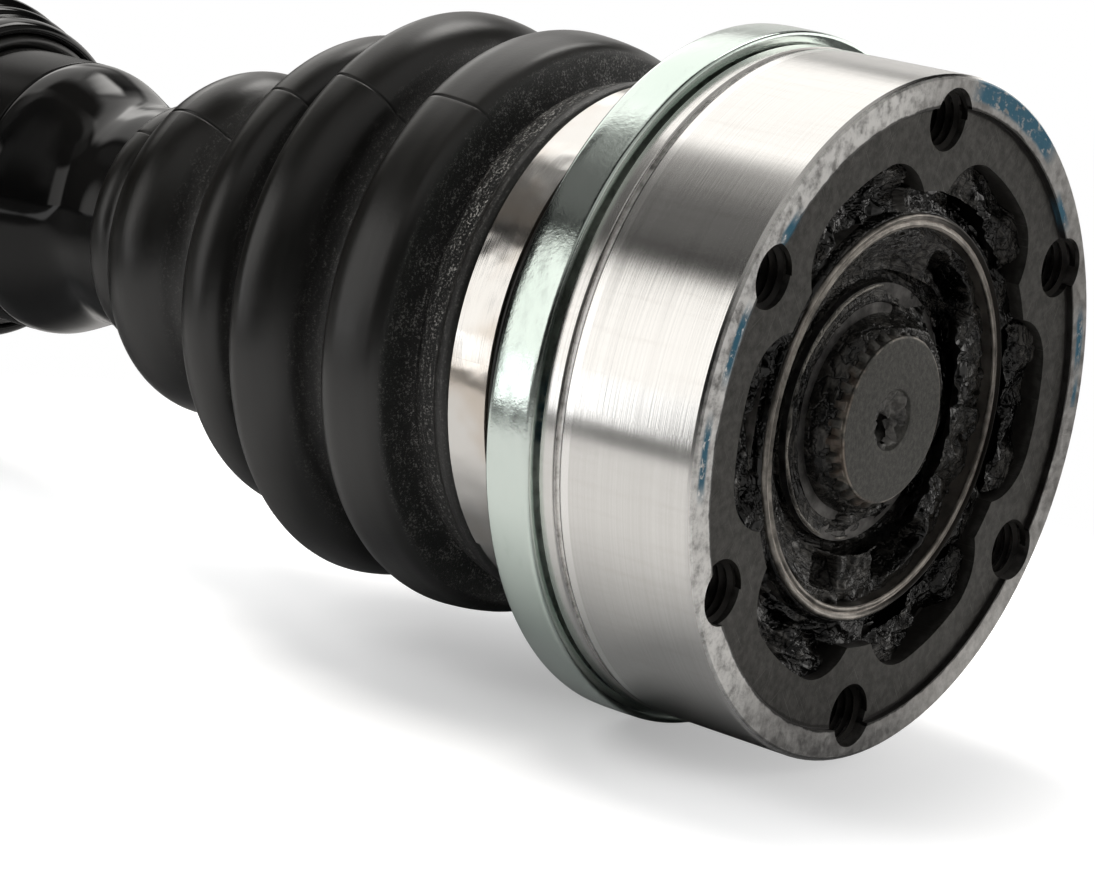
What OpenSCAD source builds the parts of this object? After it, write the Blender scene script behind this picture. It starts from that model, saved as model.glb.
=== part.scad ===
// Half shaft with a bolt-on plunging ball joint, a tubular shaft with a damper and a fixed ball joint.
// The axis of the shaft is X. The origin is the centre of the bolt-on face, and +X points out of it.
// Angles around the axis count from +Y towards +Z. Sizes are in millimetres.

/* [Layout] */
// Distance between the centres of the two joints
centre_dist = 451; // [430:1:520]
// Depth of the inner joint's centre behind the bolt-on face
inner_depth = 19; // [18:0.5:21]

/* [Inner joint] */
// Outer diameter of the joint body
joint_od = 108; // [107:0.5:112]
// Width of the ground outer face
race_w = 28; // [26:0.5:30]
// Diameter of the shaft bore that the cage slides in
bore_d = 72; // [71:0.2:73]
// Diameter of the bolt circle
pcd = 94; // [93:0.5:96]
// Diameter of the tapped bolt holes
bolt_d = 10; // [8:0.5:11]
// Depth of the tapped bolt holes
bolt_depth = 22; // [16:0.5:23]
// Diameter of the recess in the bolt-on face
recess_d = 97.9; // [96:0.1:100]
// Depth of the recess in the bolt-on face
recess_depth = 1; // [0.5:0.1:2]
// Diameter of the balls
ball_d = 17.5; // [16.5:0.1:17.8]
// Diameter of the circle through the ball centres
ball_circle_d = 66; // [65:0.2:67]
// Depth of the wide mouth of each ball track
mouth_depth = 5; // [3:0.5:7]
// Half angle between the two lobes of a mouth
mouth_half_angle = 10; // [6:0.5:11]
// Width of the cage
cage_w = 32; // [30:0.5:33]
// Bore of the cage
cage_bore_d = 60; // [59:0.2:61]
// Width of the star
star_w = 17.6; // [16:0.2:19]
// Diameter of the raised hub on the star's front
star_hub_d = 41; // [39:0.5:42]
// Height of the raised hub on the star's front
star_hub_h = 2.8; // [1:0.1:3]
// Width of the groove in the outer face
groove_w = 1.7; // [1:0.1:2.4]
// Distance of the groove from the bolt-on face
groove_x = 24.6; // [22:0.2:25]
// Chamfer of the outer edge
edge_chamfer = 0.7; // [0.4:0.1:1.2]

/* [Cap and band] */
// Rise of the cap's rim over the joint body
cap_rise = 2.05; // [1:0.05:3]
// Length of the cap's rim
cap_rim_w = 8.3; // [7:0.1:9]
// Sheet thickness of the cap
cap_sheet = 1.6; // [1:0.1:2]
// Outer diameter of the cap's neck
cap_neck_d = 82.4; // [81.6:0.1:83]
// Length of the cap's neck
cap_neck_l = 13.5; // [12:0.5:15]
// Width of the band clamp
band_w = 7.6; // [6:0.2:8]
// Thickness of the band clamp
band_t = 0.8; // [0.5:0.1:1]
// Angle at which the band's outer layer ends
band_end_angle = 225; // [200:1:240]
// Angle that the band's ends lap over each other
band_lap = 29; // [20:1:40]

/* [Inner boot] */
// Wall thickness of both boots
boot_wall = 2; // [1.5:0.1:2.4]
// Thickness of the boot's collar under the band
collar_t = 1.1; // [0.8:0.1:1.4]
// Radius of the first and largest fold
fold1_r = 49.9; // [48:0.1:52]
// Radius of the second fold
fold2_r = 48.7; // [47:0.1:51]
// Radius of the third fold
fold3_r = 41.9; // [40:0.1:44]
// Radius of the fourth and smallest fold
fold4_r = 31; // [30:0.1:33]
// Radius of the valley behind the first fold
valley1_r = 40; // [38:0.1:42]
// Radius of the valley behind the second fold
valley2_r = 36.5; // [35:0.1:38]
// Radius of the valley behind the third fold
valley3_r = 25.5; // [25:0.1:27]
// Distance between the first and second fold
pitch12 = 22.5; // [21:0.1:24]
// Distance between the second and third fold
pitch23 = 17; // [16:0.1:18.5]
// Distance between the third and fourth fold
pitch34 = 28; // [26:0.1:30]

/* [Shaft] */
// Outer diameter of the inner spline
spline_d = 28.6; // [27:0.1:29]
// Number of spline teeth
spline_teeth = 30; // [24:1:36]
// Height of the spline teeth
spline_h = 1; // [0.6:0.1:1.2]
// Diameter of the solid shaft inside the inner boot
core_d = 28; // [26:0.5:30]
// Diameter of the seats that the boots grip
seat_d = 40.6; // [39:0.1:42]
// Outer diameter of the tube
tube_d = 50.4; // [48:0.2:52]
// Wall of the tube
tube_wall = 3.6; // [2.5:0.1:5]
// Distance of the tube's inner end from the bolt-on face
tube_x = 177.5; // [176:0.5:182]
// Distance of the damper from the tube's inner end
damper_gap = 14.5; // [8:0.5:25]
// Length of the damper's ring
damper_w = 46; // [30:1:60]
// Outer diameter of the damper's ring
damper_d = 67; // [64:0.5:74]
// Thickness of the damper's rubber
damper_rubber = 3.4; // [2:0.1:5]

/* [Outer joint] */
// Diameter of the balls
oball_d = 16; // [15:0.1:16.4]
// Diameter of the circle through the ball centres
oball_circle_d = 60; // [59:0.2:61]
// Outer diameter of the bell
bell_d = 95; // [94:0.5:100]
// Distance of the bell's mouth from the joint's centre
bell_mouth = 16; // [15.5:0.1:16.5]
// Length of the boot's seat at the bell's mouth
bell_seat_l = 11.5; // [10.5:0.1:12]
// Distance from the joint's centre to where the bell starts to close
bell_waist = 14; // [13:0.5:15]
// Distance from the joint's centre to the bell's back
bell_back = 35; // [34:0.5:36]
// Depth of the bell's hollow behind the joint's centre
bell_hollow = 26; // [25:0.5:27]
// Distance from the bell's back to the stub axle's spline
stub_gap = 9; // [8:0.5:10]
// Diameter of the ball-shaped seat of the cage in the bell
bell_seat_d = 65.2; // [64.6:0.1:66]
// Width of the cage
ocage_w = 25; // [24:0.2:26]
// Thickness of the cage
ocage_t = 5.9; // [5.6:0.1:6.2]
// Width of the star
ostar_w = 17; // [16:0.2:18]
// Outer diameter of the outer spline of the shaft
ospline_d = 25; // [24:0.1:25.4]
// Diameter of the stub axle's spline
stub_d = 30; // [27:0.5:32]
// Length of the stub axle's spline
stub_l = 42; // [36:1:50]
// Number of teeth of the stub axle's spline
stub_teeth = 36; // [30:1:40]
// Diameter of the stub axle's thread
thread_d = 22; // [20:1:24]
// Pitch of the stub axle's thread
thread_pitch = 1.5; // [1.5:0.25:2]
// Number of thread turns
thread_turns = 14; // [10:1:16]

/* [Outer boot] */
// Radius of the first fold
ofold1_r = 47.4; // [46:0.1:47.6]
// Radius lost from fold to fold
ofold_step = 4; // [3.6:0.1:4.1]
// Height of the folds over the valleys
ofold_h = 8; // [7:0.1:9]
// Number of folds
ofolds = 5; // [5:1:5]
// Distance from fold to fold
opitch = 15; // [14:0.1:15.6]

/* [Clearances] */
// Gap on the radius between the cage and the bore
cage_gap = 0.1; // [0.05:0.01:0.2]
// Gap between a ball and the sides of its window
window_gap = 0.05; // [0.03:0.01:0.1]
// Room for a ball across its track in the joint body
track_gap = 0.6; // [0.5:0.05:0.8]
// Room for a ball across its track in the star
star_gap = 1.2; // [1.15:0.05:1.3]
// Room for a ball across its track in the bell
bell_gap = 2.2; // [2.15:0.05:2.3]
// Room for a ball across its track in the outer star
ostar_gap = 1.6; // [1.55:0.05:1.7]
// Gap on the radius in splines and under rings
fit_gap = 0.05; // [0.03:0.01:0.08]

/* [Hidden] */
$fn = 64;

ci = -inner_depth;
co = ci - centre_dist;
race_r = joint_od / 2;
ball_r = ball_d / 2;
ball_cr = ball_circle_d / 2;
track_r = ball_r + track_gap;
track_cr = ball_cr - 0.25;
spigot_r = race_r - 2;
spigot_l = 7;
bore_r = bore_d / 2;
cage_r = bore_r - cage_gap;
star_r = cage_bore_d / 2 - 0.3;
star_front = ci + star_w / 2;
hub_front = star_front + star_hub_h;
clip_t = 1.5;
clip_x = hub_front + 0.05;
shaft_end = ci + 16.8;
washer_x = ci - star_w / 2 - 0.05;
washer_t = 2.4;
shoulder_x = washer_x - washer_t - 0.05;
cap_r = race_r + cap_rise;
cap_front = -race_w - 0.35;
cap_back = cap_front - cap_rim_w;
neck_r = cap_neck_d / 2;
neck_x = cap_back - 8.8;
neck_end = neck_x - cap_neck_l;
bowl_r = max(ball_cr + ball_r + 0.9 + cap_sheet, neck_r + 1);
collar_r = neck_r + fit_gap + collar_t;
collar_x = neck_x - 0.8;
band_x = neck_x - 2;
band_r = collar_r + 0.05;
fold1_x = band_x - band_w - 19.2;
fold2_x = fold1_x - pitch12;
fold3_x = fold2_x - pitch23;
fold4_x = fold3_x - pitch34;
lip_x = fold4_x - 13;
seat_r = seat_d / 2;
tube_r = tube_d / 2;
core_r = core_d / 2;
bell_r = bell_d / 2;
bell_in = bell_seat_d / 2;
oball_r = oball_d / 2;
oball_cr = oball_circle_d / 2;
ocage_r = bell_in - cage_gap;
ocage_in = ocage_r - ocage_t;
ostar_r = ocage_in - cage_gap;
mouth_x = co + bell_mouth;
oseat_r = bell_r - 2.6;
ocollar_r = oseat_r + fit_gap + collar_t;
oband_x = mouth_x - 2.6;
ofold1_x = mouth_x + 10;
olip_x = ofold1_x + opitch * (ofolds - 1) + 11.5;
otube_x = olip_x + 20;
oend = co - 13.5;
oclip_x = co - ostar_w / 2 - 0.05;
ocore_r = ospline_d / 2 + 0.6;
damper_x = -tube_x - damper_gap;
damper_r = damper_d / 2;
stub_x = co - bell_back - stub_gap;
stub_end = stub_x - stub_l;
thread_end = stub_end - 5 - thread_pitch * thread_turns;

module rev(pts) {
  rotate([0, 90, 0]) rotate_extrude() polygon(pts);
}

module part_rev(pts, from, span) {
  rotate([from, 0, 0]) rotate([90, 0, 0]) rotate([0, 90, 0]) rotate_extrude(angle = span) polygon(pts);
}

module rod(x0, x1, r) {
  translate([x0, 0, 0]) rotate([0, 90, 0]) cylinder(h = x1 - x0, r = r);
}

module around(n, first) {
  for (i = [0 : n - 1]) rotate([first + 360 / n * i, 0, 0]) children();
}

// Outline that faces along the axis: turns a shape drawn in Y and Z into a prism along X.
module prism(x0, x1) {
  translate([x0, 0, 0]) rotate([90, 0, 90]) linear_extrude(height = x1 - x0) children();
}

function spline_pts(r, h, n) = [for (i = [0 : n - 1]) for (k = [[-0.34, 1], [-0.14, 0], [0.14, 0],
[0.34, 1]])
  [(r - h * k[1]) * cos((i + k[0]) * 360 / n), (r - h * k[1]) * sin((i + k[0]) * 360 / n)]];

// Inner joint

module mouth_shape() {
  difference() {
    union() {
      for (s = [-1, 1]) rotate(s * mouth_half_angle) translate([track_cr, 0]) circle(r = track_r);
      intersection() {
        circle(r = track_cr + track_r);
        polygon([[0, 0], [race_r, -race_r * tan(mouth_half_angle)],
          [race_r, race_r * tan(mouth_half_angle)]]);
      }
    }
    circle(r = bore_r - 8);
  }
}

module inner_race() color([0.75, 0.74, 0.73]) difference() {
  rev([[bore_r, -recess_depth], [recess_d / 2, -recess_depth], [recess_d / 2, 0],
    [race_r - edge_chamfer, 0],
    [race_r, -edge_chamfer], [race_r, -race_w + 0.3], [race_r - 0.3, -race_w], [spigot_r, -race_w],
    [spigot_r, -race_w - spigot_l + 0.5], [spigot_r - 0.5, -race_w - spigot_l],
    [bore_r + 0.8, -race_w - spigot_l],
    [bore_r, -race_w - spigot_l + 0.8]]);
  around(6, 0) prism(-race_w - spigot_l - 1, 1) translate([track_cr, 0]) circle(r = track_r);
  around(6, 0) prism(-recess_depth - mouth_depth, 1) mouth_shape();
  around(6, 30) translate([-bolt_depth, pcd / 2, 0]) rod(0, bolt_depth + 1, bolt_d / 2);
  rev([[race_r - 0.7, -groove_x - groove_w / 2 + 0.5], [race_r + 1, -groove_x - groove_w / 2 - 0.4],
    [race_r + 1, -groove_x + groove_w / 2 + 0.4], [race_r - 0.7, -groove_x + groove_w / 2 - 0.5]]);
}

module inner_cap() color([0.78, 0.86, 0.82]) rev([
  [spigot_r + fit_gap, cap_front - 0.3], [race_r + 0.3, cap_front], [cap_r - 0.6, cap_front],
  [cap_r - 0.15, cap_front - 1.2], [cap_r, cap_front - 3], [cap_r, cap_front - 5],
  [cap_r - 0.4, cap_back + 1.2], [cap_r - 1.3, cap_back + 0.3], [cap_r - 2.4, cap_back],
  [bowl_r + 1, cap_back], [bowl_r + 0.2, cap_back - 0.6], [bowl_r, neck_x + 1.6],
  [neck_r + 0.6, neck_x + 0.2],
  [neck_r, neck_x - 0.6], [neck_r, neck_end + 1.5], [neck_r - 0.4, neck_end],
  [neck_r - cap_sheet, neck_end], [neck_r - cap_sheet, neck_x - 0.2], [bowl_r - cap_sheet, neck_x + 2.4],
  [bowl_r - cap_sheet, -race_w - spigot_l - 0.15], [spigot_r + fit_gap, -race_w - spigot_l - 0.15]]);

module band(x, r, w, t, end) {
  part_rev([[r, x - w], [r, x], [r + t, x - 0.15], [r + t, x - w + 0.15]], end + band_lap, 360 - band_lap);
  part_rev([[r, x - w], [r, x], [r + t * 0.45, x], [r + t * 0.45, x - w]], end - 0.1, band_lap + 0.2);
  rotate([end + 130, 0, 0]) translate([x - w / 2, r + t - 0.2, 0]) prism(-w / 2 + 0.6,
    w / 2 - 0.6) difference() {
    union() {
      polygon([[0, -5], [2.6, -2.2], [2.6, 2.2], [0, 5]]);
      for (s = [-1, 1]) translate([1.9, s * 2.3]) circle(r = 1.3);
    }
    polygon([[-0.5, -3], [1.6, -1.7], [1.6, 1.7], [-0.5, 3]]);
  }
}

module inner_band() color([0.8, 0.8, 0.8]) band(band_x, band_r, band_w, band_t, band_end_angle);

module window_shape(w, l) {
  union() {
    square([w, l - w * 0.5], center = true);
    square([w * 0.5, l], center = true);
    for (a = [-1, 1]) for (b = [-1, 1]) translate([a * w / 4, b * (l / 2 - w / 4)]) circle(r = w / 4);
  }
}

module windows(c, r0, r1, w, l) {
  around(6, 0) translate([c, r0, 0]) rotate([-90, 0,
  0]) linear_extrude(height = r1 - r0) window_shape(w, l);
}

module inner_cage() color([0.5, 0.5, 0.5]) difference() {
  intersection() {
    translate([ci, 0, 0]) rotate([0, 90, 0]) sphere(r = cage_r);
    rod(ci - cage_w / 2, ci + cage_w / 2, cage_r + 1);
  }
  rod(ci - cage_w, ci + cage_w, cage_bore_d / 2);
  windows(ci, cage_bore_d / 2 - 10, cage_r + 5, ball_d + 2 * window_gap, ball_d + 1.6);
}

module inner_ball(i) color([0.7, 0.7, 0.72]) rotate([60 * (i - 1), 0, 0]) translate([ci, ball_cr, 0])
  sphere(r = ball_r);

module inner_star() color([0.45, 0.45, 0.45]) difference() {
  union() {
    intersection() {
      translate([ci, 0, 0]) rotate([0, 90, 0]) sphere(r = star_r);
      rod(ci - star_w / 2, star_front, star_r + 1);
    }
    rod(ci, hub_front, star_hub_d / 2);
  }
  around(6, 0) prism(ci - star_w, ci + star_w) translate([track_cr, 0]) circle(r = ball_r + star_gap);
  prism(ci - star_w, ci + star_w) polygon(spline_pts(spline_d / 2 + fit_gap, spline_h, spline_teeth));
}

module inner_circlip() color([0.35, 0.35, 0.35])
  part_rev([[spline_d / 2 - 1.25, clip_x], [spline_d / 2 + 0.9, clip_x],
    [spline_d / 2 + 0.9, clip_x + clip_t],
    [spline_d / 2 - 1.25, clip_x + clip_t]], 300, 328);

module dished_washer() color([0.4, 0.4, 0.42]) rev([[spline_d / 2 + 0.1, washer_x - 0.9],
  [spline_d / 2 + 9, washer_x], [spline_d / 2 + 9, washer_x - 1.3], [spline_d / 2 + 0.1, washer_x - 2.3]]);

module grease_mouths() color([0.08, 0.07, 0.06])
  around(6, 0) prism(-recess_depth - mouth_depth + 0.1, -recess_depth - 1.6) difference() {
    for (s = [-1, 1]) rotate(s * (mouth_half_angle - 0.6)) translate([track_cr,
    0]) circle(r = track_r - 0.3);
    circle(r = cage_r + 0.4);
    translate([track_cr, 0]) circle(r = track_r + 0.1);
  }

module grease_core() color([0.08, 0.07, 0.06]) rev([[spline_d / 2 + 2.4, hub_front + 0.1],
  [cage_bore_d / 2 - 2, hub_front + 0.2], [cage_bore_d / 2 - 0.6, -5.2], [cage_bore_d / 2 - 3, -4.6],
  [cage_bore_d / 2 - 6, -5.8], [spline_d / 2 + 6, -5.2], [spline_d / 2 + 3.2, -6.4]]);

// Inner boot

function boot_pts() = [[collar_r + 0.1, collar_x - 0.1], [collar_r + 0.6, collar_x - 0.3],
  [collar_r + 0.6, band_x + 0.25], [collar_r, band_x + 0.1]];
function boot_folds() = [[collar_r, band_x - band_w - 0.1], [collar_r + 1.2, band_x - band_w - 0.6],
  [collar_r + 1, band_x - band_w - 4.2], [collar_r - 1, band_x - band_w - 8.5],
  [fold1_r - 5.2, fold1_x + 6.4], [fold1_r - 1.6, fold1_x + 3.4], [fold1_r, fold1_x],
  [fold1_r - 0.8, fold1_x - 3.8], [fold1_r - 4.4, fold1_x - 7.2], [valley1_r, fold1_x - pitch12 * 0.54],
  [fold2_r - 3.6, fold2_x + 5.4], [fold2_r - 0.7, fold2_x + 2.4], [fold2_r - 0.3, fold2_x - 1.4],
  [fold2_r - 5.2, fold2_x - 5.6], [valley2_r, fold2_x - pitch23 * 0.59], [fold3_r - 1.7, fold3_x + 3.4],
  [fold3_r, fold3_x], [fold3_r - 1.4, fold3_x - 3.2], [(fold3_r + valley3_r) / 2 - 1.6, fold3_x - 9.5],
  [valley3_r + 0.9, fold3_x - 13.4], [valley3_r + 0.4, fold3_x - 17.4], [fold4_r - 1.2, fold4_x + 4.9],
  [fold4_r, fold4_x], [fold4_r - 1.3, fold4_x - 4.7], [fold4_r - 4.5, fold4_x - 8],
  [seat_r + 1.8, lip_x + 1.4]];
function boot_inside() = [[seat_r + fit_gap, lip_x + 2.6], [fold4_r - boot_wall - 1.2, fold4_x - 2],
  [fold4_r - boot_wall - 1, fold4_x + 2], [valley3_r - boot_wall, fold3_x - 16],
  [(fold3_r + valley3_r) / 2 - 2 - boot_wall, fold3_x - 8.5], [fold3_r - boot_wall - 0.6, fold3_x],
  [valley2_r - boot_wall, fold2_x - pitch23 * 0.59], [fold2_r - boot_wall - 0.8, fold2_x],
  [valley1_r - boot_wall, fold1_x - pitch12 * 0.54], [fold1_r - boot_wall - 0.8, fold1_x],
  [neck_r + fit_gap, fold1_x + 9.5]];
function boot_lip() = [[seat_r + 2.3, lip_x + 1], [seat_r + 2.6, lip_x - 0.6], [seat_r + 2.4, lip_x - 2.8],
  [seat_r + 1.6, lip_x - 3.4]];

module inner_boot() color([0.09, 0.09, 0.09]) rev(concat([[neck_r + fit_gap, collar_x]], boot_pts(),
  boot_folds(), boot_lip(), [[seat_r + fit_gap, lip_x - 3.4]], boot_inside()));

// Shaft

module clip_groove(x, w, r) {
  rev([[r - 1.3, x - 0.05], [r + 3, x - 0.05], [r + 3, x + w + 0.05], [r - 1.3, x + w + 0.05]]);
}

module centre_drill(x, s) {
  rev([[0, x + 0.1 * s], [4.9, x + 0.1 * s], [4.8, x - 0.6 * s], [2.6, x - 2.6 * s], [2.6, x - 6 * s],
    [0, x - 8 * s]]);
}

module inner_stub() color([0.06, 0.06, 0.06]) difference() {
  union() {
    intersection() {
      prism(shoulder_x - 0.5, shaft_end) polygon(spline_pts(spline_d / 2, spline_h, spline_teeth));
      rod(shoulder_x - 1, shaft_end, spline_d / 2 + 1);
    }
    rod(shaft_end - 0.8, shaft_end + 0.4, spline_d / 2 - spline_h + 0.1);
    rev([[0, shoulder_x], [spline_d / 2 + 1.4, shoulder_x], [spline_d / 2 + 1.8, shoulder_x - 0.5],
      [spline_d / 2 + 1.8, shoulder_x - 5], [core_r, shoulder_x - 9], [core_r, lip_x + 30],
      [seat_r - 1.2, lip_x + 7], [seat_r, lip_x + 4.4], [seat_r, lip_x - 3.6], [seat_r + 0.4, lip_x - 5],
      [seat_r + 1.9, lip_x - 7.6], [tube_r - 1.5, (lip_x - 4 - tube_x) / 2 - 0.5],
      [tube_r - 0.35, -tube_x + 6.5], [tube_r, -tube_x + 1.5], [tube_r - 0.25, -tube_x + 0.05],
      [tube_r - tube_wall - 0.1, -tube_x + 0.05], [tube_r - tube_wall - 0.1, -tube_x - 8],
      [0, -tube_x - 8]]);
  }
  clip_groove(clip_x, clip_t, spline_d / 2);
  centre_drill(shaft_end + 0.4, 1);
}

module tube() color([0.06, 0.06, 0.06]) rev([[tube_r - tube_wall, -tube_x], [tube_r - 0.25, -tube_x],
  [tube_r, -tube_x - 0.5], [tube_r, otube_x + 0.5], [tube_r - 0.25, otube_x],
  [tube_r - tube_wall, otube_x]]);

module outer_stub() color([0.06, 0.06, 0.06]) difference() {
  union() {
    prism(oend, co + ostar_w / 2 + 2) polygon(spline_pts(ospline_d / 2, spline_h, spline_teeth - 2));
    rev([[0, co + ostar_w / 2 + 0.1], [ocore_r, co + ostar_w / 2 + 0.1],
      [ocore_r + 0.8, co + ostar_w / 2 + 1],
      [ocore_r + 0.8, co + 13], [ocore_r, co + 16], [ocore_r, olip_x - 30], [seat_r - 1.2, olip_x - 7],
      [seat_r, olip_x - 4.4], [seat_r, olip_x + 3.6], [seat_r + 1.9, olip_x + 7.6],
      [tube_r - 1.5, (olip_x + 4 + otube_x) / 2 + 0.5], [tube_r, otube_x - 1.5],
      [tube_r - 0.25, otube_x - 0.05],
      [tube_r - tube_wall - 0.1, otube_x - 0.05], [tube_r - tube_wall - 0.1, otube_x + 8],
      [0, otube_x + 8]]);
  }
  clip_groove(oclip_x - 1.5, 1.5, ospline_d / 2);
  centre_drill(oend, -1);
}

module damper_sleeve() color([0.07, 0.07, 0.07]) rev([[tube_r + fit_gap, damper_x],
  [tube_r + 2.6, damper_x], [tube_r + damper_rubber, damper_x - 1],
  [tube_r + damper_rubber, damper_x - damper_w - 3],
  [tube_r + 2.4, damper_x - damper_w - 4], [tube_r + fit_gap, damper_x - damper_w - 4]]);

module damper_ring() color([0.06, 0.06, 0.06]) rev([[tube_r + damper_rubber + fit_gap, damper_x - 1.4],
  [tube_r + damper_rubber + 1.2, damper_x - 1.4], [damper_r - 3, damper_x - 3.2],
  [damper_r - 2.2, damper_x - 4.4],
  [damper_r - 2.1, damper_x - 13], [damper_r - 3, damper_x - 14.2], [damper_r - 3, damper_x - 15.2],
  [damper_r - 0.9, damper_x - 16], [damper_r, damper_x - 17.5], [damper_r, damper_x - damper_w + 1.5],
  [damper_r - 1.5, damper_x - damper_w], [tube_r + damper_rubber + fit_gap, damper_x - damper_w]]);

// Outer joint

module arc_track(r, gap, from, span) {
  translate([co, 0, 0]) rotate([0, 0, 90]) rotate([0, 0, -from - span]) rotate_extrude(angle = span)
    translate([r, 0]) circle(r = oball_r + gap);
}

module bell() color([0.3, 0.3, 0.3]) difference() {
  union() {
    rev([[0, mouth_x], [oseat_r - 0.8, mouth_x], [oseat_r, mouth_x - 0.8], [oseat_r, mouth_x - 2],
      [oseat_r, mouth_x - bell_seat_l], [bell_r - 1, mouth_x - bell_seat_l - 0.7],
      [bell_r, mouth_x - bell_seat_l - 1.7], [bell_r, co - bell_waist], [bell_r - 3, co - bell_waist - 8],
      [bell_r - 9, co - bell_back + 6], [stub_d / 2 + 11, co - bell_back + 1.5],
      [stub_d / 2 + 7, co - bell_back], [stub_d / 2 + 6.2, co - bell_back - 1.5],
      [stub_d / 2 + 6.2, stub_x + 1],
      [stub_d / 2 + 5.4, stub_x + 0.1], [stub_d / 2, stub_x + 0.1], [0, stub_x + 0.1]]);
    prism(stub_end, stub_x + 0.5) polygon(spline_pts(stub_d / 2, 0.9, stub_teeth));
    rev(concat([[0, stub_end + 0.1], [thread_d / 2 - 1.2, stub_end + 0.1],
      [thread_d / 2 - 1.2, stub_end - 4]],
      [for (i = [0 : thread_turns - 1]) for (k = [[0, -0.9], [0.5, 0]])
        [thread_d / 2 + k[1], stub_end - 4.6 - (i + k[0]) * thread_pitch]],
      [[thread_d / 2 - 1.2, thread_end], [0, thread_end]]));
  }
  intersection() {
    translate([co, 0, 0]) rotate([0, 90, 0]) sphere(r = bell_in);
    rod(co - bell_hollow, mouth_x + 5, bell_in + 1);
  }
  rev([[0, mouth_x - 8], [bell_in - 1.2, mouth_x - 7.6], [bell_in + 3.6, mouth_x + 0.4],
    [0, mouth_x + 0.4]]);
  around(6, 0) arc_track(oball_cr, bell_gap, -37, 100);
  translate([thread_end, 0, 0]) rev([[0, -0.1], [4, -0.1], [4, 0.4], [2.2, 2.2], [2.2, 6], [0, 7.6]]);
}

module outer_band() color([0.8, 0.8, 0.8]) band(oband_x, ocollar_r + 0.05, band_w, band_t, 30);

module outer_cage() color([0.5, 0.5, 0.5]) difference() {
  intersection() {
    translate([co, 0, 0]) rotate([0, 90, 0]) sphere(r = ocage_r);
    rod(co - ocage_w / 2, co + ocage_w / 2, ocage_r + 1);
  }
  translate([co, 0, 0]) rotate([0, 90, 0]) sphere(r = ocage_in);
  windows(co, ocage_in - 6, ocage_r + 5, oball_d + 2 * window_gap, oball_d + 1.6);
}

module outer_ball(i) color([0.7, 0.7, 0.72]) rotate([60 * (i - 1), 0, 0]) translate([co, oball_cr, 0])
  sphere(r = oball_r);

module outer_star() color([0.45, 0.45, 0.45]) difference() {
  intersection() {
    translate([co, 0, 0]) rotate([0, 90, 0]) sphere(r = ostar_r);
    rod(co - ostar_w / 2, co + ostar_w / 2, ostar_r + 1);
  }
  around(6, 0) arc_track(oball_cr, ostar_gap, -60, 120);
  prism(co - ostar_w, co + ostar_w) polygon(spline_pts(ospline_d / 2 + fit_gap, spline_h,
  spline_teeth - 2));
}

module outer_circlip() color([0.35, 0.35, 0.35])
  part_rev([[ospline_d / 2 - 1.25, oclip_x - 1.45], [ospline_d / 2 + 0.9, oclip_x - 1.45],
    [ospline_d / 2 + 0.9, oclip_x], [ospline_d / 2 - 1.25, oclip_x]], 300, 328);

// Outer boot

function ofold(i) = let (x = ofold1_x + opitch * i, r = ofold1_r - ofold_step * i)
  [[r - ofold_h * (i == 0 ? 0.12 : 0.5), x - opitch * 0.28], [r, x - opitch * 0.08],
   [r - ofold_h * 0.06, x + opitch * 0.12],
   [max(r - ofold_h - ofold_step * 0.3, seat_r + 1.9), x + opitch * 0.5]];
function ofold_inside(i) = let (x = ofold1_x + opitch * i, r = ofold1_r - ofold_step * i - boot_wall)
  [[max(r - ofold_h - ofold_step * 0.3, seat_r + 0.7), x + opitch * 0.5], [r - 0.8, x]];

module outer_boot() color([0.09, 0.09, 0.09]) rev(concat(
  [[oseat_r + fit_gap, oband_x - band_w - 1.2], [ocollar_r + 0.4, oband_x - band_w - 1.2],
   [ocollar_r + 0.4, oband_x - band_w - 0.3], [ocollar_r, oband_x - band_w - 0.1],
   [ocollar_r, oband_x + 0.1],
   [ocollar_r + 0.8, oband_x + 0.6], [ocollar_r + 0.6, mouth_x + 1]],
  [for (i = [0 : ofolds - 1]) for (p = ofold(i)) p],
  [[seat_r + 1.8, olip_x - 1.4], [seat_r + 2.3, olip_x - 1], [seat_r + 2.6, olip_x + 0.6],
   [seat_r + 2.4, olip_x + 2.8], [seat_r + 1.6, olip_x + 3.4], [seat_r + fit_gap, olip_x + 3.4],
   [seat_r + fit_gap, olip_x - 2.6]],
  [for (i = [ofolds - 1 : -1 : 0]) for (p = ofold_inside(i)) p],
  [[oseat_r + fit_gap, mouth_x + 1.5]]));

inner_race();
inner_cap();
inner_band();
inner_cage();
inner_ball(1);  // inner_ball_1
inner_ball(2);  // inner_ball_2
inner_ball(3);  // inner_ball_3
inner_ball(4);  // inner_ball_4
inner_ball(5);  // inner_ball_5
inner_ball(6);  // inner_ball_6
inner_star();
inner_circlip();
dished_washer();
grease_mouths();
grease_core();
inner_boot();
inner_stub();
tube();
outer_stub();
damper_sleeve();
damper_ring();
outer_boot();
outer_band();
bell();
outer_cage();
outer_ball(1);  // outer_ball_1
outer_ball(2);  // outer_ball_2
outer_ball(3);  // outer_ball_3
outer_ball(4);  // outer_ball_4
outer_ball(5);  // outer_ball_5
outer_ball(6);  // outer_ball_6
outer_star();
outer_circlip();
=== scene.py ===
import math

import bpy
import numpy as np
from mathutils import Matrix, Vector, noise


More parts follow.
